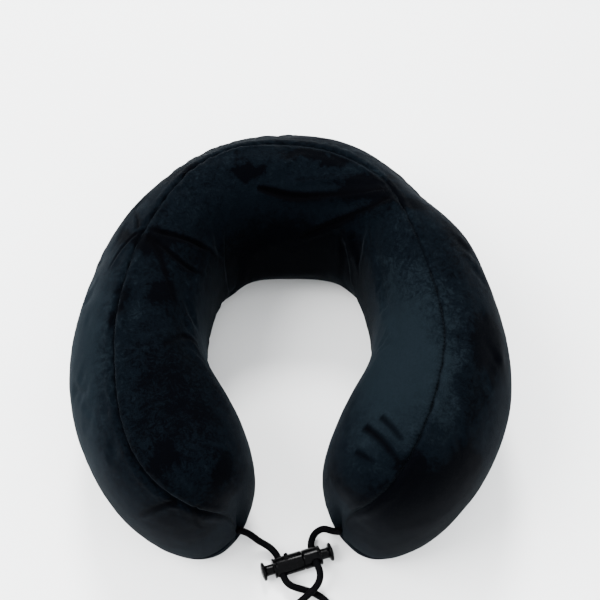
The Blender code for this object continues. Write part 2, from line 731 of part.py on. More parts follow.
def make_button(name, side, tilt, frame):
    """A mushroom push button whose slotted stem pinches the cord. Built for the +Z end."""
    end, inner = BARREL_HALF + HEAD_GAP + HEAD_THICKNESS, BARREL_HALF - STEM_DEPTH
    head_low = BARREL_HALF + HEAD_GAP
    rim = end - HEAD_DOME
    profile = [
        (0, end), (0.45 * HEAD_RADIUS, end - 0.2 * HEAD_DOME), (0.8 * HEAD_RADIUS, end - 0.62 * HEAD_DOME),
        (HEAD_RADIUS - 0.0001, rim), (HEAD_RADIUS, rim - 0.0004), (HEAD_RADIUS - 0.0004, rim - 0.0008),
        (STEM_RADIUS + 0.0005, head_low + 0.0002), (STEM_RADIUS, head_low - 0.0006),
        (STEM_RADIUS, inner + 0.0003), (STEM_RADIUS - 0.0003, inner), (0, inner),
    ]
    if side < 0:
        profile = [(r, -z) for r, z in reversed(profile)]
    button = turned(f"push_button_{name}", profile, frame)
    grip = CORD_DIAMETER / 2 + TOUCH_GAP
    hole_z = BARREL_HALF - HOLE_FROM_END
    low, high = hole_z - grip, hole_z + grip + BUTTON_TRAVEL
    slot = box_mesh(f"button_slot_{name}", (2 * grip, 0.02, high - low))
    cutter = add_cutter(f"button_slot_{name}", slot, frame)
    cutter.location.z = side * (low + high) / 2
    cutter.rotation_euler.z = -tilt
    cut(button, cutter)


def make_spring(name, side, frame):
    depth = SOCKET_BORE_DEPTH if side < 0 else PLUG_BORE_DEPTH
    start = BARREL_HALF - STEM_DEPTH - TOUCH_GAP - SPRING_WIRE_RADIUS
    end = BARREL_HALF - depth + TOUCH_GAP + SPRING_WIRE_RADIUS
    helix = bpy.data.curves.new(f"button_spring_{name}", "CURVE")
    helix.dimensions = "3D"
    line = helix.splines.new("POLY")
    count = SPRING_STEPS * SPRING_TURNS
    line.points.add(count)
    for step, point in enumerate(line.points):
        turn = 2 * math.pi * step / SPRING_STEPS
        level = side * (start + (end - start) * step / count)
        point.co = (SPRING_RADIUS * math.cos(turn), SPRING_RADIUS * math.sin(turn), level, 1)
    helix.bevel_depth = SPRING_WIRE_RADIUS
    helix.bevel_resolution = 1
    helix.use_fill_caps = True
    add_object(f"button_spring_{name}", helix, STEEL_LOOK, frame)


# ---- Cords ----


def hole_points(side, tilt):
    """The far mouth, middle and near mouth of one half's cord hole."""
    frame = lock_frame()
    middle = Vector((0, 0, side * (BARREL_HALF - HOLE_FROM_END)))
    near = Vector((math.sin(tilt), math.cos(tilt), 0))
    return [frame @ (middle + reach * near) for reach in (-CORD_HOLE_REACH, 0, CORD_HOLE_REACH)]


def left_route():
    to_lock = [
        (-0.0365, -0.1318, 0.0160), (-0.0325, -0.1319, 0.0158), (-0.0270, -0.1334, 0.0134),
        (-0.0205, -0.1366, 0.0085), (-0.0147, -0.1392, 0.0058),
    ]
    to_knot = [
        (-0.0021, -0.1640, 0.0077), (0.0010, -0.1666, 0.0068), (0.0050, -0.1678, 0.0051),
        (0.0098, -0.1686, 0.0034), (0.0150, -0.1700, 0.0026), (0.0203, -0.1727, 0.0026),
        (0.0250, -0.1765, 0.0026), (0.0287, -0.1820, 0.0030), (0.0306, -0.1888, 0.0043),
        (0.0306, -0.1960, 0.0059),
    ]
    return to_lock + hole_points(-1, SOCKET_HOLE_TILT) + to_knot


def right_route():
    to_lock = [
        (0.0363, -0.1321, 0.0160), (0.0330, -0.1321, 0.0153), (0.0288, -0.1307, 0.0130),
        (0.0245, -0.1287, 0.0106), (0.0200, -0.1289, 0.0076), (0.0166, -0.1315, 0.0048),
        (0.0150, -0.1355, 0.0031),
    ]
    to_knot = [
        (0.0208, -0.1603, 0.0122), (0.0195, -0.1664, 0.0112), (0.0146, -0.1718, 0.0086),
        (0.0080, -0.1768, 0.0055), (0.0014, -0.1820, 0.0034), (-0.0034, -0.1886, 0.0043),
        (-0.0052, -0.1965, 0.0059),
    ]
    return to_lock + hole_points(1, PLUG_HOLE_TILT) + to_knot


def make_cord(name, route):
    steps = np.linalg.norm(np.diff(np.array(route), axis=0), axis=1)
    knots = np.concatenate([[0], np.cumsum(steps)])
    points = smooth_curve(route, knots, np.linspace(0, knots[-1], CORD_POINTS))
    tube = bpy.data.curves.new(name, "CURVE")
    tube.dimensions = "3D"
    line = tube.splines.new("POLY")
    line.points.add(len(points) - 1)
    for point, place in zip(line.points, points):
        point.co = (*place, 1)
    tube.bevel_depth = CORD_DIAMETER / 2
    tube.bevel_resolution = 2
    tube.use_fill_caps = True
    add_object(name, tube, CORD_LOOK)
    return points


def make_knot(name, points):
    """A plain solid of the knot's outer shape, past the cord's end."""
    end, before = Vector(points[-1]), Vector(points[-2])
    ahead = (end - before).normalized()

    def build(shape):
        bmesh.ops.create_uvsphere(shape, u_segments=14, v_segments=8, radius=KNOT_RADIUS)

    knot = add_object(name, mesh_from(name, build), CORD_LOOK)
    knot.location = end + ahead * (KNOT_RADIUS + TOUCH_GAP)
    knot.location.z = KNOT_RADIUS + FLOOR_GAP


def main():
    clear_scene()
    make_pillow()
    make_zip()
    make_lock()
    for name, route in (("left", left_route()), ("right", right_route())):
        make_knot(f"cord_knot_{name}", make_cord(f"cord_{name}", route))


main()
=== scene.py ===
"""The looks of the U shaped neck pillow: velour cover, zip, cord lock and braided cords.

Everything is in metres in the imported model's own frame. The pillow lies on its base with
its back toward +Y, its open side and its cords toward -Y.
"""
import json
import math

import bmesh
import bpy
import numpy as np
from mathutils import Matrix, Vector, noise

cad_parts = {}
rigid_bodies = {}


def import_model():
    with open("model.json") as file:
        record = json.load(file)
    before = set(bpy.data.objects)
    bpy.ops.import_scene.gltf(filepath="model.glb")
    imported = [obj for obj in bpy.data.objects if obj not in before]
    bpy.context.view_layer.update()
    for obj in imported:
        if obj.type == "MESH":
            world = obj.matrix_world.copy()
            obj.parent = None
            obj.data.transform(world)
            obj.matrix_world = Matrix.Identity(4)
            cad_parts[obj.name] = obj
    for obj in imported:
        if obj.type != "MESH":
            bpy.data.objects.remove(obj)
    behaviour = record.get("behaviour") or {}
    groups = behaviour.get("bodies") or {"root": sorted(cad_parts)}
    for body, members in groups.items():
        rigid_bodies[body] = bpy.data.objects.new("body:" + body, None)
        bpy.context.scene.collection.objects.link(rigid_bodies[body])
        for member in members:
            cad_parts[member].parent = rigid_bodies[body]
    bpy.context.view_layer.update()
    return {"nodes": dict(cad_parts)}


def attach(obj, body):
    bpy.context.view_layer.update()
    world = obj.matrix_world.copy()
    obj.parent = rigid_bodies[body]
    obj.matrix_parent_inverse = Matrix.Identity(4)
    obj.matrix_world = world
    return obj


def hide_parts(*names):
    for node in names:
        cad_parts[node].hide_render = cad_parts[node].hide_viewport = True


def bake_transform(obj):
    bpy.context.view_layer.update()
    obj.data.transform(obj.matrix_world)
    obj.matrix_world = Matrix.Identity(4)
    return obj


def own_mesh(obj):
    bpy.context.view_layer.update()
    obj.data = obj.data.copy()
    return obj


for startup_object in list(bpy.data.objects):
    bpy.data.objects.remove(startup_object)
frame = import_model()

MM = 0.001

# Camera, in front of the open side and looking down on it.
CAMERA_TILT = math.radians(60)
CAMERA_DISTANCE = 0.836
CAMERA_TARGET = Vector((0.0073, 0.0302, 0.0498))
CAMERA_LENS_MM = 69.1

# Cords. The routes are the CAD cords' own points, from the sewn end to the knot.
CORD_DIAMETER = 0.0049
CORD_HOLE_REACH = 0.0072
CORD_RING_STEP = 0.0003
CORD_SIDES = 48
BRAID_CARRIERS = 8
BRAID_LAY = 0.0150
BRAID_RELIEF = 0.11

# Cord lock. Its own frame has Z along the barrel, Y out of the near cord hole, X through the latch.
LOCK_CENTRE = Vector((0.0055, -0.1505, 0.0070))
LOCK_YAW = math.radians(17)
LOCK_ROLL = math.radians(30)
SOCKET_HOLE_TILT = math.radians(-24)
PLUG_HOLE_TILT = math.radians(2)
BARREL_RADIUS = 0.0067
BARREL_HALF = 0.0168
SPLIT_Z = 0.0040
TOUCH_GAP = 0.0003
BORE_RADIUS = 0.0039
HOLE_FROM_END = 0.0050
HOLE_RADIUS = 0.0030
SOCKET_BORE_DEPTH = 0.0138
PLUG_BORE_DEPTH = 0.0134
PLUG_BORE_WIDE_DEPTH = 0.0120
PLUG_SPRING_BORE_RADIUS = 0.0026
NOSE_RADIUS = 0.00355
NOSE_LENGTH = 0.0052
NOSE_SOCKET_DEPTH = 0.0058
STEM_RADIUS = 0.0036
STEM_DEPTH = 0.0088
HEAD_RADIUS = 0.0064
HEAD_GAP = 0.0054
HEAD_THICKNESS = 0.0034
HEAD_DOME = 0.0012
DOME_POWER = 2.2
DOME_SHARES = (0, 0.2, 0.4, 0.6, 0.78, 0.9)
BUTTON_TRAVEL = 0.0026
SPRING_RADIUS = 0.0021
SPRING_WIRE_RADIUS = 0.00023
SPRING_TURNS = 4
SPRING_STEPS = 40
SPRING_SIDES = 12
LATCH_HALF_WIDTH = 0.0015
LATCH_RAISED = 0.0004
LATCH_PIVOT = (0.0049 + LATCH_RAISED, -0.0018)
TURNED_SIDES = 96

# Pillow, seen from above: the CAD cover's own outline, by station from the back to the arm's end.
BACK_ARC_CENTRE_Y = 0.031
BACK_ARC_RADIUS = 0.120
BACK_ARC_STEP = math.radians(12.5)
BACK_ARC_STATIONS = 5
NECK_EDGE = (
    (0.0000, 0.0610), (0.0145, 0.0608), (0.0300, 0.0580), (0.0440, 0.0490), (0.0530, 0.0330),
    (0.0577, 0.0100), (0.0590, -0.0120), (0.0540, -0.0370), (0.0400, -0.0620), (0.0290, -0.0860),
    (0.0235, -0.1060), (0.0240, -0.1180), (0.0280, -0.1262), (0.0360, -0.1284),
)
ARM_OUTER_EDGE = (
    (0.1190, 0.0700), (0.1370, 0.0270), (0.1470, -0.0200), (0.1460, -0.0606), (0.1336, -0.0972),
    (0.1112, -0.1300), (0.0842, -0.1500), (0.0568, -0.1526), (0.0360, -0.1352),
)
LAST_STATION = len(NECK_EDGE) - 1

# Pillow, seen from the side.
BACK_HEIGHT = 0.120
ARM_HEIGHT = 0.128
ARM_HEIGHT_STATION = 6.0
WIDEST_LEVEL = 0.46
TOP_ROUNDNESS = 2.3
BASE_ROUNDNESS = 2.6
BASE_SINK = 0.0036
NOSE_STATION = 9.5
NOSE_ROUNDNESS = 2.2
CORD_EXIT = (0.0360, -0.1318, 0.0160)
CORD_EXIT_RADIUS = 0.0034

# Seams, as (station, angle in degrees) along the top seam. Negative stations are the left arm.
TOP_SEAM = (
    (-13.0, 66), (-11.0, 60), (-9.8, 61), (-8.7, 69), (-7.2, 78), (-5.3, 80), (-4.0, 77),
    (-2.0, 73), (0.0, 74), (2.0, 77), (3.2, 81), (4.2, 89), (5.4, 95), (7.2, 90), (8.5, 86),
    (10.0, 82), (11.4, 76), (13.0, 70),
)
BASE_FLAT_START = math.radians(250)
BASE_FLAT_END = math.radians(290)
SEAM_ROLL = 0.0021
SEAM_ROLL_WIDTH = 0.0014
SEAM_READ = math.radians(0.8)

# Heights of the cover's relief: beside a seam, beside the zip, in the gathers and over the filling.
SEAM_RIDGE = 0.0006
ZIP_RIDGE = 0.0009
PUCKER_PITCH = 0.0085
PUCKER_WANDER = 0.0035
TOP_PUCKER = 0.00032
LOW_PUCKER = 0.00030
BIG_LUMPS = 0.0007
SMALL_LUMPS = 0.00022

# Zip, on one level arc low on the outside of the back.
ZIP_HEIGHT = 0.0280
ZIP_STATION = 3.45
ZIP_LIP_HALF = 0.0036
ZIP_ARC = math.radians(42.5)
ZIP_LEAN = math.radians(13.5)
ZIP_RADIUS = 0.1166
TAPE_THICKNESS = 0.0008
TOOTH_PITCH = 0.0015
STOP_LENGTH = 0.0022

# The cover's fine grid, and the coarser one that the cloth runs on: every fourth row and column.
SIM_STEP = 4
ROWS_TO_NOSE = 330
ROWS_IN_NOSE = 30
NOSE_ROWS_START = 12.0
OUTER_COLUMNS = 121
NECK_COLUMNS = 241
COVER_THICKNESS = 0.0009

# Cloth.
CLOTH_FRAMES = 20
CLOTH_GROWTH = 0.012
CLOTH_INSET = 0.0004
CLOTH_SETTINGS = {
    "quality": 5, "mass": 0.2, "tension_stiffness": 12, "compression_stiffness": 6, "shear_stiffness": 4,
    "bending_stiffness": 0.35, "use_pressure": True, "uniform_pressure_force": 4.0,
    "shrink_min": -CLOTH_GROWTH,
}
# The cloth is held from this station to each arm's end, and its movement fades over the span before it.
CLOTH_HELD_FROM = 12.2
CLOTH_FADE_SPAN = 2.6
CLOTH_HELD_BELOW = 0.0006
PUFF_OUT = 0.0028
PUFF_NECK = 0.0010
PUFF_IN = 0.0008
PUFF_SIDE = 0.0020
NECK_SIDE = math.radians(175)
NECK_SIDE_SPAN = math.radians(55)


# ---- Curves ----


def smooth_curve(points, knots, places):
    """Points of a natural cubic curve that passes each point at its knot."""
    points, knots, places = (np.array(values, float) for values in (points, knots, places))
    gaps = np.diff(knots)
    system = np.eye(len(points))
    bends = np.zeros_like(points)
    for i in range(1, len(points) - 1):
        system[i, i - 1:i + 2] = gaps[i - 1], 2 * (gaps[i - 1] + gaps[i]), gaps[i]
        bends[i] = 6 * ((points[i + 1] - points[i]) / gaps[i] - (points[i] - points[i - 1]) / gaps[i - 1])
    bends = np.linalg.solve(system, bends)
    i = np.clip(np.searchsorted(knots, places, side="right") - 1, 0, len(gaps) - 1)
    gap = gaps[i].reshape((-1,) + (1,) * (points.ndim - 1))
    after = (places - knots[i]).reshape(gap.shape) / gap
    before = 1 - after
    bend = (before ** 3 - before) * bends[i] + (after ** 3 - after) * bends[i + 1]
    return before * points[i] + after * points[i + 1] + bend * gap ** 2 / 6


def along_route(route, count):
    """Evenly read points of the smooth curve through a route's points."""
    steps = np.linalg.norm(np.diff(np.array(route), axis=0), axis=1)
    knots = np.concatenate([[0], np.cumsum(steps)])
    return smooth_curve(route, knots, np.linspace(0, knots[-1], count))


def bell(distance, width):
    return np.exp(-(distance / width) ** 2)


def ease(low, high, value):
    share = np.clip((value - low) / (high - low), 0, 1)
    return share * share * (3 - 2 * share)


# ---- Node materials ----


def add(tree, kind, settings=None, **values):
    """A shader node. A value is a number, a colour or another node's output."""
    made = tree.nodes.new(kind)
    for name, value in (settings or {}).items():
        setattr(made, name, value)
    for name, value in values.items():
        key = int(name[1:]) if name[0] == "i" and name[1:].isdigit() else name.replace("_", " ")
        socket = made.inputs[key]
        if isinstance(value, bpy.types.NodeSocket):
            tree.links.new(value, socket)
        else:
            socket.default_value = value
    return made


def new_material(name, **constants):
    made = bpy.data.materials.new(name)
    made.use_nodes = True
    tree = made.node_tree
    shader = tree.nodes["Principled BSDF"]
    for key, value in constants.items():
        shader.inputs[key.replace("_", " ")].default_value = value
    return made, tree, shader


def place_of(tree):
    return add(tree, "ShaderNodeTexCoord").outputs["Object"]


def noise_of(tree, scale, detail=3.0, roughness=0.5, distortion=0.0):
    made = add(tree, "ShaderNodeTexNoise", Vector=place_of(tree), Scale=scale, Detail=detail,
               Roughness=roughness, Distortion=distortion)
    return made.outputs["Fac"]


def maths(tree, operation, first, second=0.0):
    return add(tree, "ShaderNodeMath", {"operation": operation}, i0=first, i1=second).outputs[0]


def ramp(tree, value, stops):
    """Colours by value. Stops are (place, colour)."""
    made = add(tree, "ShaderNodeValToRGB", Fac=value)
    made.color_ramp.interpolation = "EASE"
    while len(made.color_ramp.elements) < len(stops):
        made.color_ramp.elements.new(0.5)
    for element, (place, colour) in zip(made.color_ramp.elements, stops):
        element.position = place
        element.color = (*colour, 1)
    return made.outputs["Color"]


def span(tree, value, low, high, start, end):
    made = add(tree, "ShaderNodeMapRange", {"clamp": True}, Value=value, From_Min=low, From_Max=high,
               To_Min=start, To_Max=end)
    return made.outputs["Result"]


def bump(tree, height, distance, strength=1.0, normal=None):
    values = {"Height": height, "Distance": distance, "Strength": strength}
    if normal:
        values["Normal"] = normal
    return add(tree, "ShaderNodeBump", **values).outputs["Normal"]


def attribute(tree, name):
    return add(tree, "ShaderNodeAttribute", {"attribute_name": name}).outputs["Fac"]


def velour_material():
    """Short pile that lies darker or lighter where a hand has brushed it, with stitch ticks at seams. Its
    colour also holds painted sheen and painted shade from the nap marks, and painted shade in the creases and
    the seam grooves.
    """
    made, tree, shader = new_material(
        "velour_pile", Roughness=0.85, Specular_IOR_Level=0.01, Sheen_Weight=0.014, Sheen_Roughness=0.40,
        Sheen_Tint=(0.55, 0.72, 0.88, 1))
    broad = noise_of(tree, 46, 10, 0.80, 0.7)
    streaks = noise_of(tree, 210, 7, 0.80, 1.4)
    grain = noise_of(tree, 1500, 3, 0.7)
    mottling = maths(tree, "ADD", maths(tree, "MULTIPLY", maths(tree, "SUBTRACT", broad, 0.5), 0.62),
                     maths(tree, "MULTIPLY", maths(tree, "SUBTRACT", streaks, 0.5), 0.95))
    # The nap value is the pile's lay and mottling together with painted sheen and painted shade; the ramp
    # below turns it into colour.
    nap_shade_sheen = maths(tree, "ADD", attribute(tree, "nap_shade_sheen"),
                maths(tree, "MULTIPLY", mottling, attribute(tree, "mottle")))
    # Painted shade in the seam grooves: within 1.5 mm of a seam the colour goes to near black.
    away = attribute(tree, "seam_away_mm")
    clear_of_seam_shade = span(tree, away, 0.2, 1.5, 0.0, 1.0)
    pile_and_painted_light = ramp(tree, nap_shade_sheen, ((0.30, (0.0001, 0.0002, 0.0006)), (0.50, (0.0008, 0.0016, 0.0027)),
                            (0.74, (0.0033, 0.0055, 0.0075))))
    speckled = add(tree, "ShaderNodeMix", {"data_type": "RGBA", "blend_type": "MULTIPLY"},
                   i0=0.6, i6=pile_and_painted_light, i7=ramp(tree, grain, ((0.30, (0.35, 0.35, 0.35)), (0.68, (1, 1, 1)))))
    # Painted shade in the creases: the creases' shade mark darkens the colour to near black.
    in_crease_shade = span(tree, attribute(tree, "painted_crease_shade"), 0.05, 0.85, 0.0, 0.96)
    crease_shaded = add(tree, "ShaderNodeMix", {"data_type": "RGBA"}, i0=in_crease_shade, i6=speckled.outputs[2],
                 i7=(0.0001, 0.0001, 0.0003, 1))
    seam_shaded = add(tree, "ShaderNodeMix", {"data_type": "RGBA"}, i0=clear_of_seam_shade, i6=(0.0003, 0.0005, 0.0010, 1),
                 i7=crease_shaded.outputs[2])
    tree.links.new(seam_shaded.outputs[2], shader.inputs["Base Color"])
    ticks = maths(tree, "SINE", maths(tree, "MULTIPLY", attribute(tree, "seam_along_mm"), 2 * math.pi / 3.1))
    ticks = maths(tree, "MULTIPLY", ticks, attribute(tree, "seam_ticks"))
    pile = bump(tree, grain, 0.00018, 0.5)
    pile = bump(tree, ticks, 0.00020, 0.8, pile)
    brushed = bump(tree, nap_shade_sheen, 0.0010, 0.35, pile)
    tree.links.new(brushed, shader.inputs["Normal"])
    return made


def cord_material():
    made, tree, shader = new_material("braided_polyester", Roughness=0.60, Specular_IOR_Level=0.012,
                                      Sheen_Weight=0.006, Sheen_Roughness=0.35,
                                      Sheen_Tint=(0.55, 0.58, 0.70, 1))
    relief = attribute(tree, "relief")
    fibre = noise_of(tree, 2600, 3, 0.7)
    # Painted shade: the colour darkens from the strands' crowns down into the braid's hollows, with fibre
    # tone on top.
    shade = maths(tree, "ADD", relief, maths(tree, "MULTIPLY", maths(tree, "SUBTRACT", fibre, 0.5), 0.6))
    tree.links.new(ramp(tree, shade, ((0.10, (0.0001, 0.0001, 0.0001)), (0.75, (0.0009, 0.0009, 0.0012)),
                                      (1.0, (0.0026, 0.0026, 0.0032)))), shader.inputs["Base Color"])
    tree.links.new(bump(tree, fibre, 0.00012, 0.7), shader.inputs["Normal"])
    return made


def plastic_material():
    made, tree, shader = new_material("lock_plastic", Specular_IOR_Level=0.035)
    wear = noise_of(tree, 420, 5, 0.65, 0.4)
    scuffs = noise_of(tree, 1900, 4, 0.75)
    tree.links.new(ramp(tree, wear, ((0.3, (0.0004, 0.0004, 0.0005)), (0.8, (0.0012, 0.0012, 0.0015)))),
                   shader.inputs["Base Color"])
    tree.links.new(span(tree, maths(tree, "ADD", wear, maths(tree, "MULTIPLY", scuffs, 0.4)), 0.4, 1.0,
                        0.12, 0.24), shader.inputs["Roughness"])
    tree.links.new(bump(tree, scuffs, 0.00003, 0.5), shader.inputs["Normal"])
    return made


def tape_material():
    """Herringbone woven zip tape."""
    made, tree, shader = new_material("woven_zip_tape", Roughness=0.8, Specular_IOR_Level=0.02,
                                      Sheen_Weight=0.01)
    weave = add(tree, "ShaderNodeTexWave", {"wave_type": "BANDS", "bands_direction": "DIAGONAL"},
                Vector=place_of(tree), Scale=420.0, Distortion=1.5, Detail=2.0).outputs["Fac"]
    # Painted shade: the weave's low bands, its hollows, are darker.
    tree.links.new(ramp(tree, weave, ((0.2, (0.0006, 0.0008, 0.0012)), (0.9, (0.0030, 0.0034, 0.0044)))),
                   shader.inputs["Base Color"])
    tree.links.new(bump(tree, weave, 0.00012, 0.8), shader.inputs["Normal"])
    return made


def nylon_material():
    made, tree, shader = new_material("nylon_teeth", Specular_IOR_Level=0.07)
    tint = noise_of(tree, 900, 4)
    tree.links.new(ramp(tree, tint, ((0.3, (0.0012, 0.0013, 0.0017)), (0.8, (0.0034, 0.0036, 0.0044)))),
                   shader.inputs["Base Color"])
    tree.links.new(span(tree, tint, 0.3, 0.8, 0.32, 0.48), shader.inputs["Roughness"])
    return made


def painted_metal_material():
    made, tree, shader = new_material("painted_zip_metal", Metallic=0.6, Specular_IOR_Level=0.1)
    edge = add(tree, "ShaderNodeNewGeometry").outputs["Pointiness"]
    worn = maths(tree, "ADD", edge, maths(tree, "MULTIPLY", noise_of(tree, 1400, 4), 0.12))
    tree.links.new(ramp(tree, worn, ((0.56, (0.0020, 0.0020, 0.0025)), (0.72, (0.016, 0.0155, 0.015)))),
                   shader.inputs["Base Color"])
    tree.links.new(span(tree, noise_of(tree, 700, 4), 0.3, 0.8, 0.28, 0.5), shader.inputs["Roughness"])
    return made


def steel_material():
    made, tree, shader = new_material("spring_steel", Metallic=1.0)
    drawn = noise_of(tree, 1800, 4, 0.7)
    tree.links.new(ramp(tree, drawn, ((0.3, (0.42, 0.42, 0.43)), (0.8, (0.66, 0.66, 0.65)))),
                   shader.inputs["Base Color"])
    tree.links.new(span(tree, drawn, 0.3, 0.8, 0.22, 0.4), shader.inputs["Roughness"])
    return made


def foam_material():
    made, tree, shader = new_material("memory_foam", Roughness=0.95, Specular_IOR_Level=0.1)
    cells = add(tree, "ShaderNodeTexVoronoi", Vector=place_of(tree), Scale=900.0).outputs["Distance"]
    # Painted shade: the pits at the cells' middles are darker.
    tree.links.new(ramp(tree, cells, ((0.1, (0.52, 0.45, 0.28)), (0.6, (0.80, 0.74, 0.55)))),
                   shader.inputs["Base Color"])
    tree.links.new(bump(tree, cells, 0.0004, 0.8), shader.inputs["Normal"])
    return made


def liner_material():
    made, tree, shader = new_material("knitted_liner", Roughness=0.9, Specular_IOR_Level=0.2)
    ribs = add(tree, "ShaderNodeTexWave", {"wave_type": "BANDS", "bands_direction": "X"},
               Vector=place_of(tree), Scale=260.0, Distortion=2.0, Detail=2.0).outputs["Fac"]
    # Painted shade: the grooves between the ribs are darker.
    tree.links.new(ramp(tree, ribs, ((0.2, (0.34, 0.34, 0.32)), (0.9, (0.55, 0.55, 0.52)))),
                   shader.inputs["Base Color"])
    tree.links.new(bump(tree, ribs, 0.0003, 0.7), shader.inputs["Normal"])
    return made


def floor_material():
    made, tree, shader = new_material("pale_floor", Roughness=0.6, Specular_IOR_Level=0.25)
    tint = noise_of(tree, 5, 3)
    tree.links.new(ramp(tree, tint, ((0.3, (0.87, 0.875, 0.872)), (0.8, (0.90, 0.905, 0.90)))),
                   shader.inputs["Base Color"])
    return made


# ---- Meshes ----


def add_object(name, data):
    obj = bpy.data.objects.new(name, data)
    bpy.context.scene.collection.objects.link(obj)
    return obj


def as_mesh(shape, name):
    """The bmesh as a mesh. The bmesh is freed."""
    mesh = bpy.data.meshes.new(name)
    shape.to_mesh(mesh)
    shape.free()
    return mesh


def new_piece(name, vertices, faces, look, body):
    mesh = bpy.data.meshes.new(name)
    mesh.from_pydata([tuple(v) for v in vertices], [], faces)
    mesh.validate()
    return finish_piece(name, mesh, look, body)


def finish_piece(name, mesh, look, body, smooth_degrees=180):
    mesh.shade_smooth()
    if smooth_degrees < 180:
        mesh.set_sharp_from_angle(angle=math.radians(smooth_degrees))
    mesh.materials.clear()
    mesh.materials.append(look)
    obj = add_object(name, mesh)
    if body:
        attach(obj, body)
    return obj


def grid_faces(rows, columns, wrapped=False):
    """Quads of a grid of points, row by row."""
    faces = []
    for i in range(rows - 1):
        for j in range(columns if wrapped else columns - 1):
            k = (j + 1) % columns
            low, high = i * columns, (i + 1) * columns
            faces.append((low + j, low + k, high + k, high + j))
    return faces


def tube_faces(rows, columns):
    """Faces of a closed tube of rings, with both ends capped."""
    last = (rows - 1) * columns
    return [*grid_faces(rows, columns, wrapped=True), tuple(reversed(range(columns))),
            tuple(last + i for i in range(columns))]


def store(mesh, name, values):
    made = mesh.attributes.new(name, "FLOAT", "POINT")
    made.data.foreach_set("value", np.asarray(values, np.float32).ravel())


def carried_frames(centres):
    """Two side vectors at each point of a line, turning as little as they can."""
    tangents = np.gradient(centres, axis=0)
    tangents /= np.linalg.norm(tangents, axis=1, keepdims=True)
    side = np.cross(tangents[0], (0.0, 0.0, 1.0))
    sides = []
    for tangent in tangents:
        side = side - tangent * (side @ tangent)
        side = side / np.linalg.norm(side)
        sides.append(side)
    sides = np.array(sides)
    return sides, np.cross(tangents, sides)


def tube(centres, radii, turns):
    """Points round a line. Radii is rows by sides."""
    across, up = carried_frames(centres)
    return (centres[:, None] + radii[..., None] * (np.cos(turns)[None, :, None] * across[:, None]
                                                   + np.sin(turns)[None, :, None] * up[:, None]))


# ---- Cords ----


def braid_relief(along, turns):
    """0 to 1: the height of the strands of a round braid, over and under each other."""
    rising = BRAID_CARRIERS * (turns[None] / (2 * math.pi) + along[:, None] / BRAID_LAY)
    falling = BRAID_CARRIERS * (turns[None] / (2 * math.pi) - along[:, None] / BRAID_LAY)
    over = (np.floor(rising) + np.floor(falling)) % 2 < 1
    rising, falling = (np.abs(np.sin(math.pi * value)) for value in (rising, falling))
    return np.where(over, rising * falling ** 0.35, falling * rising ** 0.35) ** 0.7


def braided_piece(name, route, radius, look, body):
    """A braided cord along a route, with rounded ends. Returns the piece and its centre line."""
    rough = along_route(route, 400)
    length = np.linalg.norm(np.diff(rough, axis=0), axis=1).sum()
    centres = along_route(route, max(12, round(length / CORD_RING_STEP)))
    steps = np.linalg.norm(np.diff(centres, axis=0), axis=1)
    along = np.concatenate([[0], np.cumsum(steps)])
    turns = np.linspace(0, 2 * math.pi, CORD_SIDES, endpoint=False)
    relief = braid_relief(along, turns)
    ends = np.sqrt(np.clip(1 - (1 - np.clip(along / radius, 0, 1)) ** 2, 0.02, 1))
    ends *= np.sqrt(np.clip(1 - (1 - np.clip((along[-1] - along) / radius, 0, 1)) ** 2, 0.02, 1))
    radii = radius * (1 - BRAID_RELIEF * (1 - relief)) * ends[:, None]
    points = tube(centres, radii, turns)
    faces = tube_faces(len(centres), CORD_SIDES)
    piece = new_piece(name, points.reshape(-1, 3), faces, look, body)
    store(piece.data, "relief", relief)
    return piece, centres


def lock_frame():
    along = Vector((math.cos(LOCK_YAW), math.sin(LOCK_YAW), 0))
    near = Vector((math.sin(LOCK_YAW) * math.cos(LOCK_ROLL), -math.cos(LOCK_YAW) * math.cos(LOCK_ROLL),
                   math.sin(LOCK_ROLL)))
    turn = Matrix((near.cross(along), near, along)).transposed().to_4x4()
    return Matrix.Translation(LOCK_CENTRE) @ turn


def hole_points(side, tilt):
    """The far mouth, middle and near mouth of one half's cord hole."""
    middle = Vector((0, 0, side * (BARREL_HALF - HOLE_FROM_END)))
    near = Vector((math.sin(tilt), math.cos(tilt), 0))
    return [tuple(lock_frame() @ (middle + reach * near)) for reach in (-CORD_HOLE_REACH, 0, CORD_HOLE_REACH)]


def left_route():
    to_lock = [
        (-0.0365, -0.1318, 0.0160), (-0.0325, -0.1319, 0.0158), (-0.0270, -0.1334, 0.0134),
        (-0.0205, -0.1366, 0.0085), (-0.0147, -0.1392, 0.0058),
    ]
    to_knot = [
        (-0.0021, -0.1640, 0.0077), (0.0010, -0.1666, 0.0068), (0.0050, -0.1678, 0.0051),
        (0.0098, -0.1686, 0.0034), (0.0150, -0.1700, 0.0026), (0.0203, -0.1727, 0.0026),
        (0.0250, -0.1765, 0.0026), (0.0287, -0.1820, 0.0030), (0.0306, -0.1888, 0.0043),
        (0.0306, -0.1960, 0.0059),
    ]
    return to_lock + hole_points(-1, SOCKET_HOLE_TILT) + to_knot


def right_route():
    to_lock = [
        (0.0363, -0.1321, 0.0160), (0.0330, -0.1321, 0.0153), (0.0288, -0.1307, 0.0130),
        (0.0245, -0.1287, 0.0106), (0.0200, -0.1289, 0.0076), (0.0166, -0.1315, 0.0048),
        (0.0150, -0.1355, 0.0031),
    ]
    to_knot = [
        (0.0208, -0.1603, 0.0122), (0.0195, -0.1664, 0.0112), (0.0146, -0.1718, 0.0086),
        (0.0080, -0.1768, 0.0055), (0.0014, -0.1820, 0.0034), (-0.0034, -0.1886, 0.0043),
        (-0.0052, -0.1965, 0.0059),
    ]
    return to_lock + hole_points(1, PLUG_HOLE_TILT) + to_knot


KNOT_STRAND = 0.0022
KNOT_TURNS = 2.15
KNOT_HALF_HEIGHT = 0.0036
KNOT_HALF_WIDTH = 0.0043
KNOT_PITCH = 0.0043
KNOT_TAIL = 0.0050
KNOT_REACH = 0.0078
KNOT_STEPS = 20


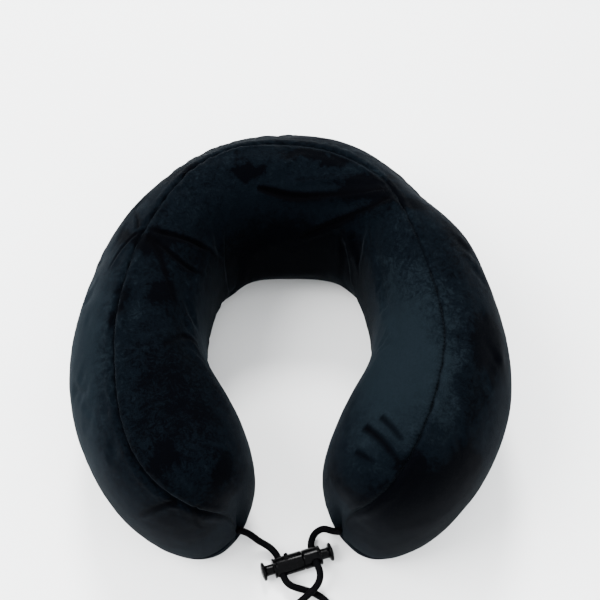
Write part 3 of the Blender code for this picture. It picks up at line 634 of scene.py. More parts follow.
def knot_route(centres):
    """Past the cord's end: two wraps round the cord, and the cut end coming out of them."""
    end, before = centres[-1], centres[-12]
    ahead = (end - before) / np.linalg.norm(end - before)
    ahead[2] = 0
    ahead /= np.linalg.norm(ahead)
    side = np.cross((0.0, 0.0, 1.0), ahead)
    route = [end - 0.0020 * ahead, end + 0.0030 * ahead, end + 0.0072 * ahead + 0.0012 * side]
    for step in range(KNOT_STEPS + 1):
        turn = 2 * math.pi * KNOT_TURNS * step / KNOT_STEPS
        place = KNOT_REACH - KNOT_PITCH * KNOT_TURNS * step / KNOT_STEPS
        route.append(end + place * ahead + KNOT_HALF_WIDTH * math.cos(turn) * side
                     + np.array((0, 0, KNOT_HALF_HEIGHT * math.sin(turn))))
    last = route[-1]
    route.append(last + 0.5 * KNOT_TAIL * (side - 0.4 * ahead) - np.array((0, 0, 0.0006)))
    route.append(last + KNOT_TAIL * (side - 0.5 * ahead) - np.array((0, 0, 0.0016)))
    return route


def make_cords(look):
    made = {}
    for name, route, body in (("left", left_route(), "lock_socket"), ("right", right_route(), "pillow")):
        crossing = name == "left"
        cord, centres = braided_piece(f"braided_cord_{name}", route, CORD_DIAMETER / 2, look,
                                      None if crossing else body)
        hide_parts(f"cord_{name}")
        knot, _ = braided_piece(f"wrapped_knot_{name}", knot_route(centres), KNOT_STRAND, look, body)
        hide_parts(f"cord_knot_{name}")
        made[name] = (cord, knot, centres)
        if crossing:
            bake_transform(cord)
    return made


# ---- Cord lock ----


def filleted(profile, radius, steps=3):
    """The profile with each corner rounded off."""
    corners = [Vector(p) for p in profile]
    rounded = [corners[0]]
    for before, corner, after in zip(corners, corners[1:], corners[2:]):
        back, ahead = before - corner, after - corner
        reach = min(radius, 0.4 * back.length, 0.4 * ahead.length)
        start, end = corner + back.normalized() * reach, corner + ahead.normalized() * reach
        for step in range(steps + 1):
            share = step / steps
            rounded.append(start.lerp(corner, share).lerp(corner.lerp(end, share), share))
    return rounded + [corners[-1]]


def turned_mesh(name, profile, sides=TURNED_SIDES):
    """A closed solid turned about Z from (radius, height) points that run down its outer side."""
    shape = bmesh.new()
    rings = []
    for radius, height in profile:
        if radius < 1e-7:
            rings.append([shape.verts.new((0, 0, height))])
            continue
        rings.append([shape.verts.new((radius * math.cos(a), radius * math.sin(a), height))
                      for a in (2 * math.pi * i / sides for i in range(sides))])
    for low, high in zip(rings, rings[1:] + rings[:1]):
        if len(low) == 1 and len(high) == 1:
            continue
        for i in range(sides):
            k = (i + 1) % sides
            corners = [low[i % len(low)], high[i % len(high)], high[k % len(high)], low[k % len(low)]]
            shape.faces.new(list(dict.fromkeys(corners)))
    bmesh.ops.recalc_face_normals(shape, faces=shape.faces)
    return as_mesh(shape, name)


def box_mesh(name, size, centre):
    shape = bmesh.new()
    bmesh.ops.create_cube(shape, size=1)
    bmesh.ops.scale(shape, vec=size, verts=shape.verts)
    bmesh.ops.translate(shape, vec=centre, verts=shape.verts)
    return as_mesh(shape, name)


def flared_hole_mesh(name):
    """A cord hole's cutter along Y, with softened mouths."""
    reach, flare = 0.0085, 0.0007
    mouth = math.sqrt(BARREL_RADIUS ** 2 - HOLE_RADIUS ** 2) - 0.0004
    half = [(HOLE_RADIUS + flare, reach), (HOLE_RADIUS + flare, BARREL_RADIUS), (HOLE_RADIUS + 0.0002, mouth),
            (HOLE_RADIUS, mouth - 0.0006)]
    profile = [(0, reach)] + half + [(r, -z) for r, z in reversed(half)] + [(0, -reach)]
    mesh = turned_mesh(name, profile, 64)
    mesh.transform(Matrix.Rotation(math.radians(-90), 4, "X"))
    return mesh


def carved(mesh, cutters):
    """The mesh with each (mesh, matrix) taken out of it."""
    obj = add_object(mesh.name, mesh)
    helpers = []
    for cutter, matrix in cutters:
        helper = add_object(cutter.name, cutter)
        helper.matrix_world = matrix
        helpers.append(helper)
        boolean = obj.modifiers.new(cutter.name, "BOOLEAN")
        boolean.object = helper
        boolean.operation = "DIFFERENCE"
        boolean.solver = "EXACT"
    bpy.context.view_layer.update()
    graph = bpy.context.evaluated_depsgraph_get()
    result = bpy.data.meshes.new_from_object(obj.evaluated_get(graph))
    for helper in [obj, *helpers]:
        bpy.data.objects.remove(helper)
    return result


def socket_profile():
    top, bottom = SPLIT_Z - TOUCH_GAP / 2, -BARREL_HALF
    wall_low, wall_high = bottom + SOCKET_BORE_DEPTH, top - NOSE_SOCKET_DEPTH
    groove = BARREL_RADIUS - 0.0005
    outer = [
        (BORE_RADIUS, top), (BARREL_RADIUS - 0.0001, top), (BARREL_RADIUS, top - 0.0010),
        (BARREL_RADIUS, bottom + 0.0024), (groove, bottom + 0.0020), (groove, bottom + 0.0014),
        (BARREL_RADIUS, bottom + 0.0010), (BARREL_RADIUS, bottom), (BORE_RADIUS, bottom),
    ]
    bores = [(BORE_RADIUS, wall_low), (0, wall_low), (0, wall_high), (BORE_RADIUS, wall_high)]
    return filleted(outer + bores, 0.0005)


def plug_profile():
    top, bottom = BARREL_HALF, SPLIT_Z + TOUCH_GAP / 2
    nose_end = bottom - NOSE_LENGTH
    groove = BARREL_RADIUS - 0.0004
    return filleted([
        (BORE_RADIUS, top), (BARREL_RADIUS - 0.0004, top), (BARREL_RADIUS, top - 0.0012),
        (groove, top - 0.0016), (groove, top - 0.0019), (BARREL_RADIUS, top - 0.0023),
        (BARREL_RADIUS, bottom + 0.0009), (BARREL_RADIUS - 0.0003, bottom), (NOSE_RADIUS, bottom),
        (NOSE_RADIUS, nose_end + 0.0036), (NOSE_RADIUS - 0.0005, nose_end + 0.0032),
        (NOSE_RADIUS - 0.0005, nose_end + 0.0018), (NOSE_RADIUS, nose_end + 0.0014),
        (NOSE_RADIUS, nose_end + 0.0006), (NOSE_RADIUS - 0.0006, nose_end), (0, nose_end),
        (0, top - PLUG_BORE_DEPTH), (PLUG_SPRING_BORE_RADIUS, top - PLUG_BORE_DEPTH),
        (PLUG_SPRING_BORE_RADIUS, top - PLUG_BORE_WIDE_DEPTH), (BORE_RADIUS, top - PLUG_BORE_WIDE_DEPTH),
    ], 0.0005)


def button_profile():
    """Built for the +Z end: a domed head on a flared neck."""
    end, inner = BARREL_HALF + HEAD_GAP + HEAD_THICKNESS, BARREL_HALF - STEM_DEPTH
    head_low = BARREL_HALF + HEAD_GAP
    rim = end - HEAD_DOME
    dome = [(share * HEAD_RADIUS, end - HEAD_DOME * share ** DOME_POWER) for share in DOME_SHARES]
    return filleted([
        *dome, (HEAD_RADIUS - 0.0002, rim), (HEAD_RADIUS, rim - 0.0004), (HEAD_RADIUS - 0.0002, rim - 0.0014),
        (HEAD_RADIUS - 0.0010, rim - 0.0019), (STEM_RADIUS + 0.0005, head_low),
        (STEM_RADIUS, head_low - 0.0008),
        (STEM_RADIUS, inner + 0.0004), (STEM_RADIUS - 0.0004, inner), (0, inner),
    ], 0.0004)


def latch_mesh():
    """The tongue along the barrel with the raised thumb lug on it."""
    tail, lug_low, lug_high, hook = -0.0095, -0.0085, -0.0052, 0.0012
    pivot_x, pivot_z = LATCH_PIVOT
    notch = 0.00045 + TOUCH_GAP
    arc = [(pivot_x + notch * math.sin(a), pivot_z + notch * math.cos(a))
           for a in (math.radians(15 * step) for step in range(13))]
    tongue = [
        (0.0054, tail), (0.0061, tail), (0.0063, lug_low), (0.0087, lug_low + 0.0003),
        (0.0092, lug_low + 0.0009), (0.0092, lug_high - 0.0009), (0.0087, lug_high - 0.0003),
        (0.0063, lug_high), (0.0062, 0.0), (0.0060, hook + 0.0012), (0.0036, hook + 0.0012),
        (0.0035, hook + 0.0002), (0.0048, hook - 0.0002),
    ]
    outline = [(x + LATCH_RAISED, z) for x, z in tongue] + [
        (pivot_x, pivot_z + notch + 0.0004), *arc, (pivot_x, pivot_z - notch - 0.0004),
    ]
    shape = bmesh.new()
    near = [shape.verts.new((x, LATCH_HALF_WIDTH, z)) for x, z in outline]
    far = [shape.verts.new((x, -LATCH_HALF_WIDTH, z)) for x, z in outline]
    shape.faces.new(near)
    shape.faces.new(far)
    for i, _ in enumerate(near):
        k = (i + 1) % len(near)
        shape.faces.new((near[i], near[k], far[k], far[i]))
    bmesh.ops.recalc_face_normals(shape, faces=shape.faces)
    rims = [edge for edge in shape.edges if edge.calc_length() > 0.0004
            and all(abs(v.co.x) > 0.0058 for v in edge.verts)]
    bmesh.ops.bevel(shape, geom=rims, offset=0.00022, segments=3, profile=0.5, affect="EDGES")
    return as_mesh(shape, "latch_tongue")


def make_lock(look):
    """Fine versions of the lock's five moulded pieces. Returns the pieces on each cord."""
    place = lock_frame()
    hole_z = BARREL_HALF - HOLE_FROM_END
    pocket_half = LATCH_HALF_WIDTH + TOUCH_GAP
    pocket_low, pocket_high, window_low = (-BARREL_HALF + z for z in (0.0068, 0.0197, 0.0172))
    pocket = box_mesh("pocket", (0.0050, 2 * pocket_half, pocket_high - pocket_low),
                      (0.00665 + LATCH_RAISED, 0, (pocket_low + pocket_high) / 2))
    window = box_mesh("window", (0.0050, 2 * pocket_half, pocket_high - window_low),
                      (0.0060 + LATCH_RAISED, 0, (window_low + pocket_high) / 2))
    made = {}
    for name, profile, side, tilt, node, body, extra in (
            ("socket", socket_profile(), -1, SOCKET_HOLE_TILT, "lock_socket_body", "lock_socket",
             [(pocket, Matrix()), (window, Matrix())]),
            ("plug", plug_profile(), 1, PLUG_HOLE_TILT, "lock_plug_body", "pillow", [])):
        through = Matrix.Translation((0, 0, side * hole_z)) @ Matrix.Rotation(-tilt, 4, "Z")
        mesh = carved(turned_mesh(f"barrel_{name}", profile),
                      [(flared_hole_mesh(f"hole_{name}"), through), *extra])
        mesh.transform(place)
        made[name] = finish_piece(f"lock_barrel_{name}", mesh, look, body, 32)
        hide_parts(node)
    for name, side, tilt, body in (("left", -1, SOCKET_HOLE_TILT, "button_left"),
                                   ("right", 1, PLUG_HOLE_TILT, "button_right")):
        grip = CORD_DIAMETER / 2 + TOUCH_GAP
        low, high = hole_z - grip, hole_z + grip + BUTTON_TRAVEL
        slot = box_mesh("slot", (2 * grip, 0.02, high - low), (0, 0, 0))
        through = Matrix.Translation((0, 0, (low + high) / 2)) @ Matrix.Rotation(-side * tilt, 4, "Z")
        mesh = carved(turned_mesh(f"button_{name}", button_profile()), [(slot, through)])
        if side < 0:
            mesh.transform(Matrix.Rotation(math.pi, 4, "Y"))
        mesh.transform(place)
        made[name] = finish_piece(f"lock_button_{name}", mesh, look, body, 32)
        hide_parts(f"push_button_{name}")
    tongue = latch_mesh()
    tongue.transform(place)
    made["latch"] = finish_piece("lock_release_tongue", tongue, look, "latch", 30)
    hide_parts("release_latch")
    return {"left": [made["socket"], made["left"], made["latch"]], "right": [made["plug"], made["right"]]}


def make_springs(look):
    """Fine coils behind the push buttons."""
    place = np.array(lock_frame())
    start = BARREL_HALF - STEM_DEPTH - TOUCH_GAP - SPRING_WIRE_RADIUS
    shares = np.linspace(0, 1, SPRING_STEPS * SPRING_TURNS + 1)
    turns = 2 * math.pi * SPRING_TURNS * shares
    around = np.linspace(0, 2 * math.pi, SPRING_SIDES, endpoint=False)
    for name, side, depth, body in (("left", -1, SOCKET_BORE_DEPTH, "lock_socket"),
                                    ("right", 1, PLUG_BORE_DEPTH, "pillow")):
        end = BARREL_HALF - depth + TOUCH_GAP + SPRING_WIRE_RADIUS
        level = side * (start + (end - start) * shares)
        centres = np.stack([SPRING_RADIUS * np.cos(turns), SPRING_RADIUS * np.sin(turns), level], axis=1)
        centres = centres @ place[:3, :3].T + place[:3, 3]
        points = tube(centres, np.full((len(centres), SPRING_SIDES), SPRING_WIRE_RADIUS), around)
        coil = new_piece(f"spring_coil_{name}", points.reshape(-1, 3), tube_faces(len(centres), SPRING_SIDES),
                         look, body)
        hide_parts(f"button_spring_{name}")
        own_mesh(coil)


# ---- Pillow ----


def both_arms(half):
    return [(-x, y) for x, y in reversed(half)][:-1] + list(half)


def section(stations):
    """Centre, half width vector, widest level, top and base at each station, as columns."""
    knots = np.arange(-LAST_STATION, LAST_STATION + 1)
    back = [(BACK_ARC_RADIUS * math.sin(step * BACK_ARC_STEP),
             BACK_ARC_CENTRE_Y + BACK_ARC_RADIUS * math.cos(step * BACK_ARC_STEP))
            for step in range(BACK_ARC_STATIONS)]
    neck = smooth_curve(both_arms(list(NECK_EDGE)), knots, stations)
    outer = smooth_curve(both_arms(back + list(ARM_OUTER_EDGE)), knots, stations)
    along = np.abs(stations)
    height = BACK_HEIGHT + (ARM_HEIGHT - BACK_HEIGHT) * np.minimum(along / ARM_HEIGHT_STATION, 1)
    nose = np.maximum(0.0, (along - NOSE_STATION) / (LAST_STATION - NOSE_STATION))
    fullness = np.sqrt(np.maximum(0.0, 1 - nose ** NOSE_ROUNDNESS))
    exit_z = CORD_EXIT[2]
    top = exit_z + np.maximum(CORD_EXIT_RADIUS, (height - exit_z) * fullness)
    base = exit_z - np.maximum(CORD_EXIT_RADIUS, (exit_z + BASE_SINK) * fullness)
    widest = base + WIDEST_LEVEL * (top - base)
    widest = np.where(along > LAST_STATION - 1e-6, exit_z, widest)
    return (neck + outer) / 2, (outer - neck) / 2, widest, top, base


def surface(stations, angles):
    """Points of the pillow's outside, for stations (n) and angles (n, m). 0 is outward, 90 degrees up."""
    centre, half, widest, top, base = (value[:, None] for value in section(stations))
    across, up = np.cos(angles), np.sin(angles)
    roundness = np.where(up >= 0, TOP_ROUNDNESS, BASE_ROUNDNESS)
    reach = np.copysign(np.abs(across) ** (2 / roundness), across)
    lift = np.abs(up) ** (2 / roundness)
    level = np.where(up >= 0, widest + lift * (top - widest), widest - lift * (widest - base))
    flat = centre + half * reach[..., None]
    return np.concatenate([flat, np.maximum(level, 0.0)[..., None]], axis=-1)


def normals_of(points):
    across = np.gradient(points, axis=1)
    along = np.gradient(points, axis=0)
    found = np.cross(across, along)
    return found / np.maximum(np.linalg.norm(found, axis=-1, keepdims=True), 1e-12)


def row_stations():
    half = np.linspace(0, NOSE_ROWS_START, ROWS_TO_NOSE + 1)[1:]
    late = 1 - (1 - np.arange(1, ROWS_IN_NOSE + 1) / ROWS_IN_NOSE) ** 2
    half = np.concatenate([half, NOSE_ROWS_START + (LAST_STATION - NOSE_ROWS_START) * late])
    return np.concatenate([-half[::-1], [0.0], half])


def top_seam(stations):
    places, degrees = zip(*TOP_SEAM)
    return np.radians(smooth_curve(degrees, places, stations))


def lower_seam(stations, side):
    """The edge of the outer panel, side 1, or of the neck panel, side -1, at the lower seam."""
    _, _, widest, _, base = section(stations)
    level = ZIP_HEIGHT - np.maximum(0.0, np.abs(stations) - NOSE_STATION) * 0.0045
    last = np.abs(stations) > LAST_STATION - 0.6
    level = np.where(last, np.minimum(level, CORD_EXIT[2] - 0.4 * CORD_EXIT_RADIUS), level)
    open_zip = 1 - ease(ZIP_STATION, ZIP_STATION + 0.25, np.abs(stations))
    level = np.maximum(level, base) + side * ZIP_LIP_HALF * open_zip
    drop = np.clip((widest - level) / (widest - base), 0.0, 1.0)
    return -np.arcsin(drop ** (BASE_ROUNDNESS / 2))


def spread(corners, counts):
    """Angles from corner to corner, n rows, each stretch in its count of steps."""
    columns = [corners[0][:, None]]
    for start, end, count in zip(corners, corners[1:], counts):
        shares = np.arange(1, count + 1) / count
        columns.append(start[:, None] + (end - start)[:, None] * shares[None])
    return np.concatenate(columns, axis=1)


def bunched(angles):
    """The same angles, read closer together near both edges, where the seams are."""
    count = angles.shape[1]
    share = np.linspace(0, 1, count)
    share = (share - 0.07 * np.sin(2 * math.pi * share)) * (count - 1)
    low = np.clip(share.astype(int), 0, count - 2)
    rest = share - low
    return angles[:, low] * (1 - rest) + angles[:, low + 1] * rest


def panel_angles(stations, side):
    if side == "outer":
        corners = (lower_seam(stations, 1), top_seam(stations))
        return bunched(spread(corners, (OUTER_COLUMNS - 1,)))
    full = np.ones_like(stations)
    corners = (top_seam(stations), math.pi * full, BASE_FLAT_START * full, BASE_FLAT_END * full,
               2 * math.pi + lower_seam(stations, -1))
    quarter = (NECK_COLUMNS - 1) // 4
    return bunched(spread(corners, (quarter + 24, quarter, quarter - 16, quarter - 8)))


def edge_distance(points):
    """Distance along the cloth from each point to its row's first and last points, as two grids."""
    steps = np.linalg.norm(np.diff(points, axis=1), axis=2)
    first = np.concatenate([np.zeros((len(points), 1)), np.cumsum(steps, axis=1)], axis=1)
    return first, first[:, -1:] - first


def cloth_puff(stations, panels):
    """How far each coarse point moves when the sewn cover is blown up over its filling."""
    outer, neck = (filled_surface(stations, panels[name])[::SIM_STEP, ::SIM_STEP]
                   for name in ("outer", "neck"))
    start = np.concatenate([outer, neck[:, 1:-1]], axis=1)
    rows, columns, _ = start.shape
    seams = [0, outer.shape[1] - 1]
    held = np.zeros((rows, columns))
    held[:, seams] = 1
    held[np.abs(stations[::SIM_STEP]) > CLOTH_HELD_FROM] = 1
    held[start[..., 2] < CLOTH_HELD_BELOW] = 1
    shrunk = start - CLOTH_INSET * normals_of(start) * (1 - held[..., None])
    mesh = bpy.data.meshes.new("cloth_cover")
    mesh.from_pydata([tuple(p) for p in shrunk.reshape(-1, 3)], [], tube_faces(rows, columns))
    cover = add_object("cloth_cover", mesh)
    pins = cover.vertex_groups.new(name="held")
    pins.add([int(i) for i in np.flatnonzero(held.ravel())], 1.0, "REPLACE")
    cloth = cover.modifiers.new("cloth", "CLOTH")
    settings = cloth.settings
    for key, value in CLOTH_SETTINGS.items():
        setattr(settings, key, value)
    settings.vertex_group_mass = "held"
    settings.effector_weights.gravity = 0
    cloth.collision_settings.use_collision = False
    cloth.point_cache.frame_start, cloth.point_cache.frame_end = 1, CLOTH_FRAMES
    for step in range(1, CLOTH_FRAMES + 1):
        bpy.context.scene.frame_set(step)
    graph = bpy.context.evaluated_depsgraph_get()
    settled = cover.evaluated_get(graph).to_mesh()
    places = np.empty(rows * columns * 3)
    settled.vertices.foreach_get("co", places)
    bpy.context.scene.frame_set(1)
    bpy.data.objects.remove(cover)
    moved = places.reshape(rows, columns, 3) - start
    out = normals_of(start)
    along = (moved * out).sum(-1, keepdims=True)
    across = moved - along * out
    size = np.maximum(np.linalg.norm(across, axis=-1, keepdims=True), 1e-9)
    turn = np.concatenate([panels["outer"][::SIM_STEP, ::SIM_STEP],
                           panels["neck"][::SIM_STEP, ::SIM_STEP][:, 1:-1]], axis=1)[..., None]
    most = PUFF_OUT - (PUFF_OUT - PUFF_NECK) * bell(turn - NECK_SIDE, NECK_SIDE_SPAN)
    moved = np.clip(along, -PUFF_IN, most) * out + across * np.minimum(1, PUFF_SIDE / size)
    moved *= ease(0.0, CLOTH_FADE_SPAN, CLOTH_HELD_FROM - np.abs(stations[::SIM_STEP]))[:, None, None]
    moved[held > 0] = 0
    moved = np.concatenate([moved, np.zeros((rows, 1, 3))], axis=1)
    return moved[:, :outer.shape[1]], moved[:, outer.shape[1] - 1:]


def finer(coarse, rows, columns):
    """The coarse grid of vectors, read on the fine grid."""
    for count in (rows, columns):
        knots = np.arange(len(coarse)) * SIM_STEP
        flat = smooth_curve(coarse.reshape(len(coarse), -1), knots, np.arange(count))
        coarse = flat.reshape(count, *coarse.shape[1:]).transpose(1, 0, 2)
    return coarse


# Creases, as a route of (station, degrees), depth and width. Each starts at its gather and fades.
CREASES = (
    (((3.75, 90), (3.45, 95), (2.40, 115), (1.25, 124), (0.45, 125), (-0.40, 122), (-1.30, 116)),
     0.0038, 0.0034),
    (((3.95, 93), (3.40, 114), (2.60, 134), (1.80, 147), (0.50, 159)), 0.0032, 0.0028),
    (((3.60, 84), (3.20, 86), (2.25, 98), (1.15, 107), (0.15, 110)), 0.0027, 0.0026),
    (((3.90, 100), (3.60, 118), (3.45, 129), (3.90, 140)), 0.0012, 0.0022),
    (((4.10, 98), (3.95, 106), (3.20, 126), (2.65, 136)), 0.0014, 0.0022),
    (((-5.25, 84), (-5.20, 104), (-5.05, 128), (-4.60, 150)), 0.0013, 0.0022),
    (((-5.10, 86), (-4.80, 104), (-4.20, 134), (-3.40, 166)), 0.0015, 0.0024),
    (((-5.30, 86), (-5.40, 100), (-5.90, 116), (-6.20, 124)), 0.0012, 0.0024),
    (((-5.30, 76), (-5.70, 66), (-6.10, 60)), 0.0009, 0.0020),
    (((-5.20, 74), (-5.00, 62), (-4.90, 50)), 0.0009, 0.0020),
    (((9.45, 122), (9.75, 108), (10.10, 94), (10.40, 84)), 0.0013, 0.0024),
    (((9.20, 112), (9.50, 100), (9.80, 90)), 0.0010, 0.0022),
    (((10.30, 120), (10.45, 108), (10.60, 98)), 0.0009, 0.0020),
    (((-11.15, 60), (-10.95, 46), (-10.65, 20)), 0.0013, 0.0026),
    (((-11.60, 70), (-11.80, 50), (-12.0, 36)), 0.0010, 0.0022),
    (((-7.00, 146), (-6.90, 138), (-7.10, 124), (-7.45, 110)), 0.0009, 0.0030),
)

# Places where the colour is made darker (below 0) or lighter: (station, degrees), reach along, reach across,
# amount. The first are small: crushed pile, and painted shade round the gathers where the creases start. The
# second are broad: among them a painted sheen on the left arm's outside and painted shade low on the back's
# inner wall.
PILE_AND_GATHER_SHADE_MARKS = (
    ((-1.6, 98), 0.0090, 0.0075, -0.40), ((7.5, 52), 0.0210, 0.0170, -0.34),
    ((-10.1, 82), 0.0130, 0.0100, -0.18), ((-10.9, 118), 0.0100, 0.0090, -0.20),
    ((1.0, 88), 0.0240, 0.0060, -0.36), ((3.2, 88), 0.0150, 0.0080, -0.30),
    ((-5.2, 92), 0.0110, 0.0120, -0.34), ((-6.2, 112), 0.0090, 0.0090, -0.22),
    ((-5.4, 62), 0.0080, 0.0080, -0.26), ((4.4, 78), 0.0120, 0.0090, -0.30),
    ((3.0, 99), 0.0240, 0.0110, -0.26), ((-6.9, 78), 0.0180, 0.0050, -0.26),
    ((8.6, 60), 0.0220, 0.0120, -0.22), ((5.4, 56), 0.0160, 0.0110, -0.18),
    ((9.8, 36), 0.0190, 0.0200, -0.24), ((10.6, 68), 0.0120, 0.0100, -0.20),
    ((-3.6, 70), 0.0180, 0.0100, -0.14),
)
BROAD_PILE_SHEEN_AND_SHADE_MARKS = (
    # (-7.6, 28) is a painted sheen on the left arm's outside.
    ((-7.6, 28), 0.0900, 0.0400, 0.42), ((-11.6, 24), 0.0300, 0.0400, -0.18),
    ((-8.4, 112), 0.0700, 0.0420, -0.17), ((-4.6, 140), 0.0340, 0.0400, -0.10),
    ((7.4, 122), 0.0660, 0.0460, 0.29), ((10.4, 118), 0.0360, 0.0360, 0.16),
    ((7.0, 36), 0.0700, 0.0420, -0.08), ((11.4, 46), 0.0300, 0.0420, -0.34),
    # (0.0, 176) is painted shade low on the back's inner wall.
    ((0.0, 176), 0.0700, 0.0400, -0.34), ((12.2, 100), 0.0160, 0.0300, -0.20),
    ((0.0, 60), 0.0600, 0.0160, -0.10), ((3.2, 166), 0.0300, 0.0340, -0.12),
    ((-12.0, 96), 0.0160, 0.0240, -0.10),
)
# The same, for marks that end at the seam: they are on the outer panel only.
OUTER_MARKS = (
    ((11.5, 34), 0.0620, 0.0700, -0.40),
)
# Places where the pile lies even, in the same form. The one on the left arm's outside keeps the painted sheen
# there even.
CALM_MARKS = (
    ((8.0, 126), 0.0800, 0.0400, -0.70), ((-7.6, 26), 0.0900, 0.0420, -0.70),
    ((0.0, 140), 0.0640, 0.0300, -0.60),
)
# Places where the filling lies lower (below 0) or fuller than the even section: the last value is metres.
FILLING_MARKS = (
    ((3.4, 66), 0.0560, 0.0420, -0.0060), ((-10.6, 20), 0.0360, 0.0460, 0.0010),
    ((8.4, 14), 0.0700, 0.0460, 0.0020), ((-5.0, 30), 0.0500, 0.0440, 0.0022),
)


# A station is about as long as this many degrees are wide, which keeps a crease's samples even.
DEGREES_A_STATION = 22


def crease_height(points, normals):
    """Height of all creases over the points, and a mark that is 1 in their shade."""
    flat, out = points.reshape(-1, 3), normals.reshape(-1, 3)
    height, shade = np.zeros(len(flat)), np.zeros(len(flat))
    samples = 120
    for route, depth, width in CREASES:
        evened = [(station * DEGREES_A_STATION, degrees) for station, degrees in route]
        places = along_route(evened, samples)
        places[:, 0] /= DEGREES_A_STATION
        line = surface(places[:, 0], np.radians(places[:, 1])[:, None])[:, 0]
        tangent = np.gradient(line, axis=0)
        tangent /= np.linalg.norm(tangent, axis=1, keepdims=True)
        reach = 5 * width
        near = np.flatnonzero(((flat > line.min(0) - reach) & (flat < line.max(0) + reach)).all(1))
        if not len(near):
            continue
        gaps = flat[near][:, None] - line[None]
        distance = np.linalg.norm(gaps, axis=2)
        nearest = distance.argmin(1)
        away = distance[np.arange(len(near)), nearest]
        side = np.sign((gaps[np.arange(len(near)), nearest] * np.cross(out[near], tangent[nearest])).sum(1))
        share = nearest / (samples - 1)
        fade = np.minimum(1, share / 0.06 + 0.3) * (1 - share) ** 0.30
        beyond = (nearest == 0) | (nearest == samples - 1)
        fade = np.where(beyond, fade * bell(away, width), fade)
        signed = away * side
        width = width * (0.42 + 0.20 * fade)
        valley = bell(signed, width)
        ridge = (0.55 * bell(signed - 1.9 * width, 1.5 * width)
                 + 0.25 * bell(signed + 1.9 * width, 1.5 * width))
        height[near] += depth * fade * (ridge - valley)
        shade[near] = np.maximum(shade[near], fade * bell(signed + 0.2 * width, 1.7 * width) * depth / 0.0016)
    return height.reshape(points.shape[:2]), shade.reshape(points.shape[:2])


def marks_over(points, marks, inner, outer):
    """The sum of the marks at each point. Each fades out from its inner to its outer share of its reach."""
    flat = points.reshape(-1, 3)
    found = np.zeros(len(flat))
    step = 0.05
    for (station, degrees), reach_along, reach_across, amount in marks:
        ring = surface(np.array([station - step, station, station + step]), np.radians([[degrees]] * 3))[:, 0]
        side = surface(np.array([station]), np.radians([[degrees - 1, degrees + 1]]))[0]
        along = (ring[2] - ring[0]) / np.linalg.norm(ring[2] - ring[0])
        across = (side[1] - side[0]) / np.linalg.norm(side[1] - side[0])
        gap = flat - ring[1]
        depth = np.linalg.norm(gap - np.outer(gap @ along, along) - np.outer(gap @ across, across), axis=1)
        size = np.sqrt((gap @ along / reach_along) ** 2 + (gap @ across / reach_across) ** 2
                       + (depth / (reach_along + reach_across)) ** 2)
        found += amount * (1 - ease(inner, outer, size))
    return found.reshape(points.shape[:2])


def filled_surface(stations, angles):
    points = surface(stations, angles)
    return points + normals_of(points) * marks_over(points, FILLING_MARKS, 0.0, 1.5)[..., None]


def ragged(points):
    """The points, moved about so that marks read at them get uneven edges."""
    moves = sum(reach * np.array([noise.noise_vector(Vector(p) * scale) for p in points.reshape(-1, 3)])
                for reach, scale in ((0.0060, 55), (0.0040, 150), (0.0024, 360)))
    return points + moves.reshape(points.shape)


def lumps_of(points, scale, seed):
    shift = Vector((seed, 2.7 * seed, -1.3 * seed))
    values = [noise.noise(Vector(p) * scale + shift) for p in points.reshape(-1, 3)]
    return np.array(values).reshape(points.shape[:2])


def seam_normals(stations, angles):
    """Normals along a line that two panels share, so that their edges stay together."""
    beside = angles[:, None] + np.array((-SEAM_READ, 0.0, SEAM_READ))
    return normals_of(filled_surface(stations, beside))[:, 1]


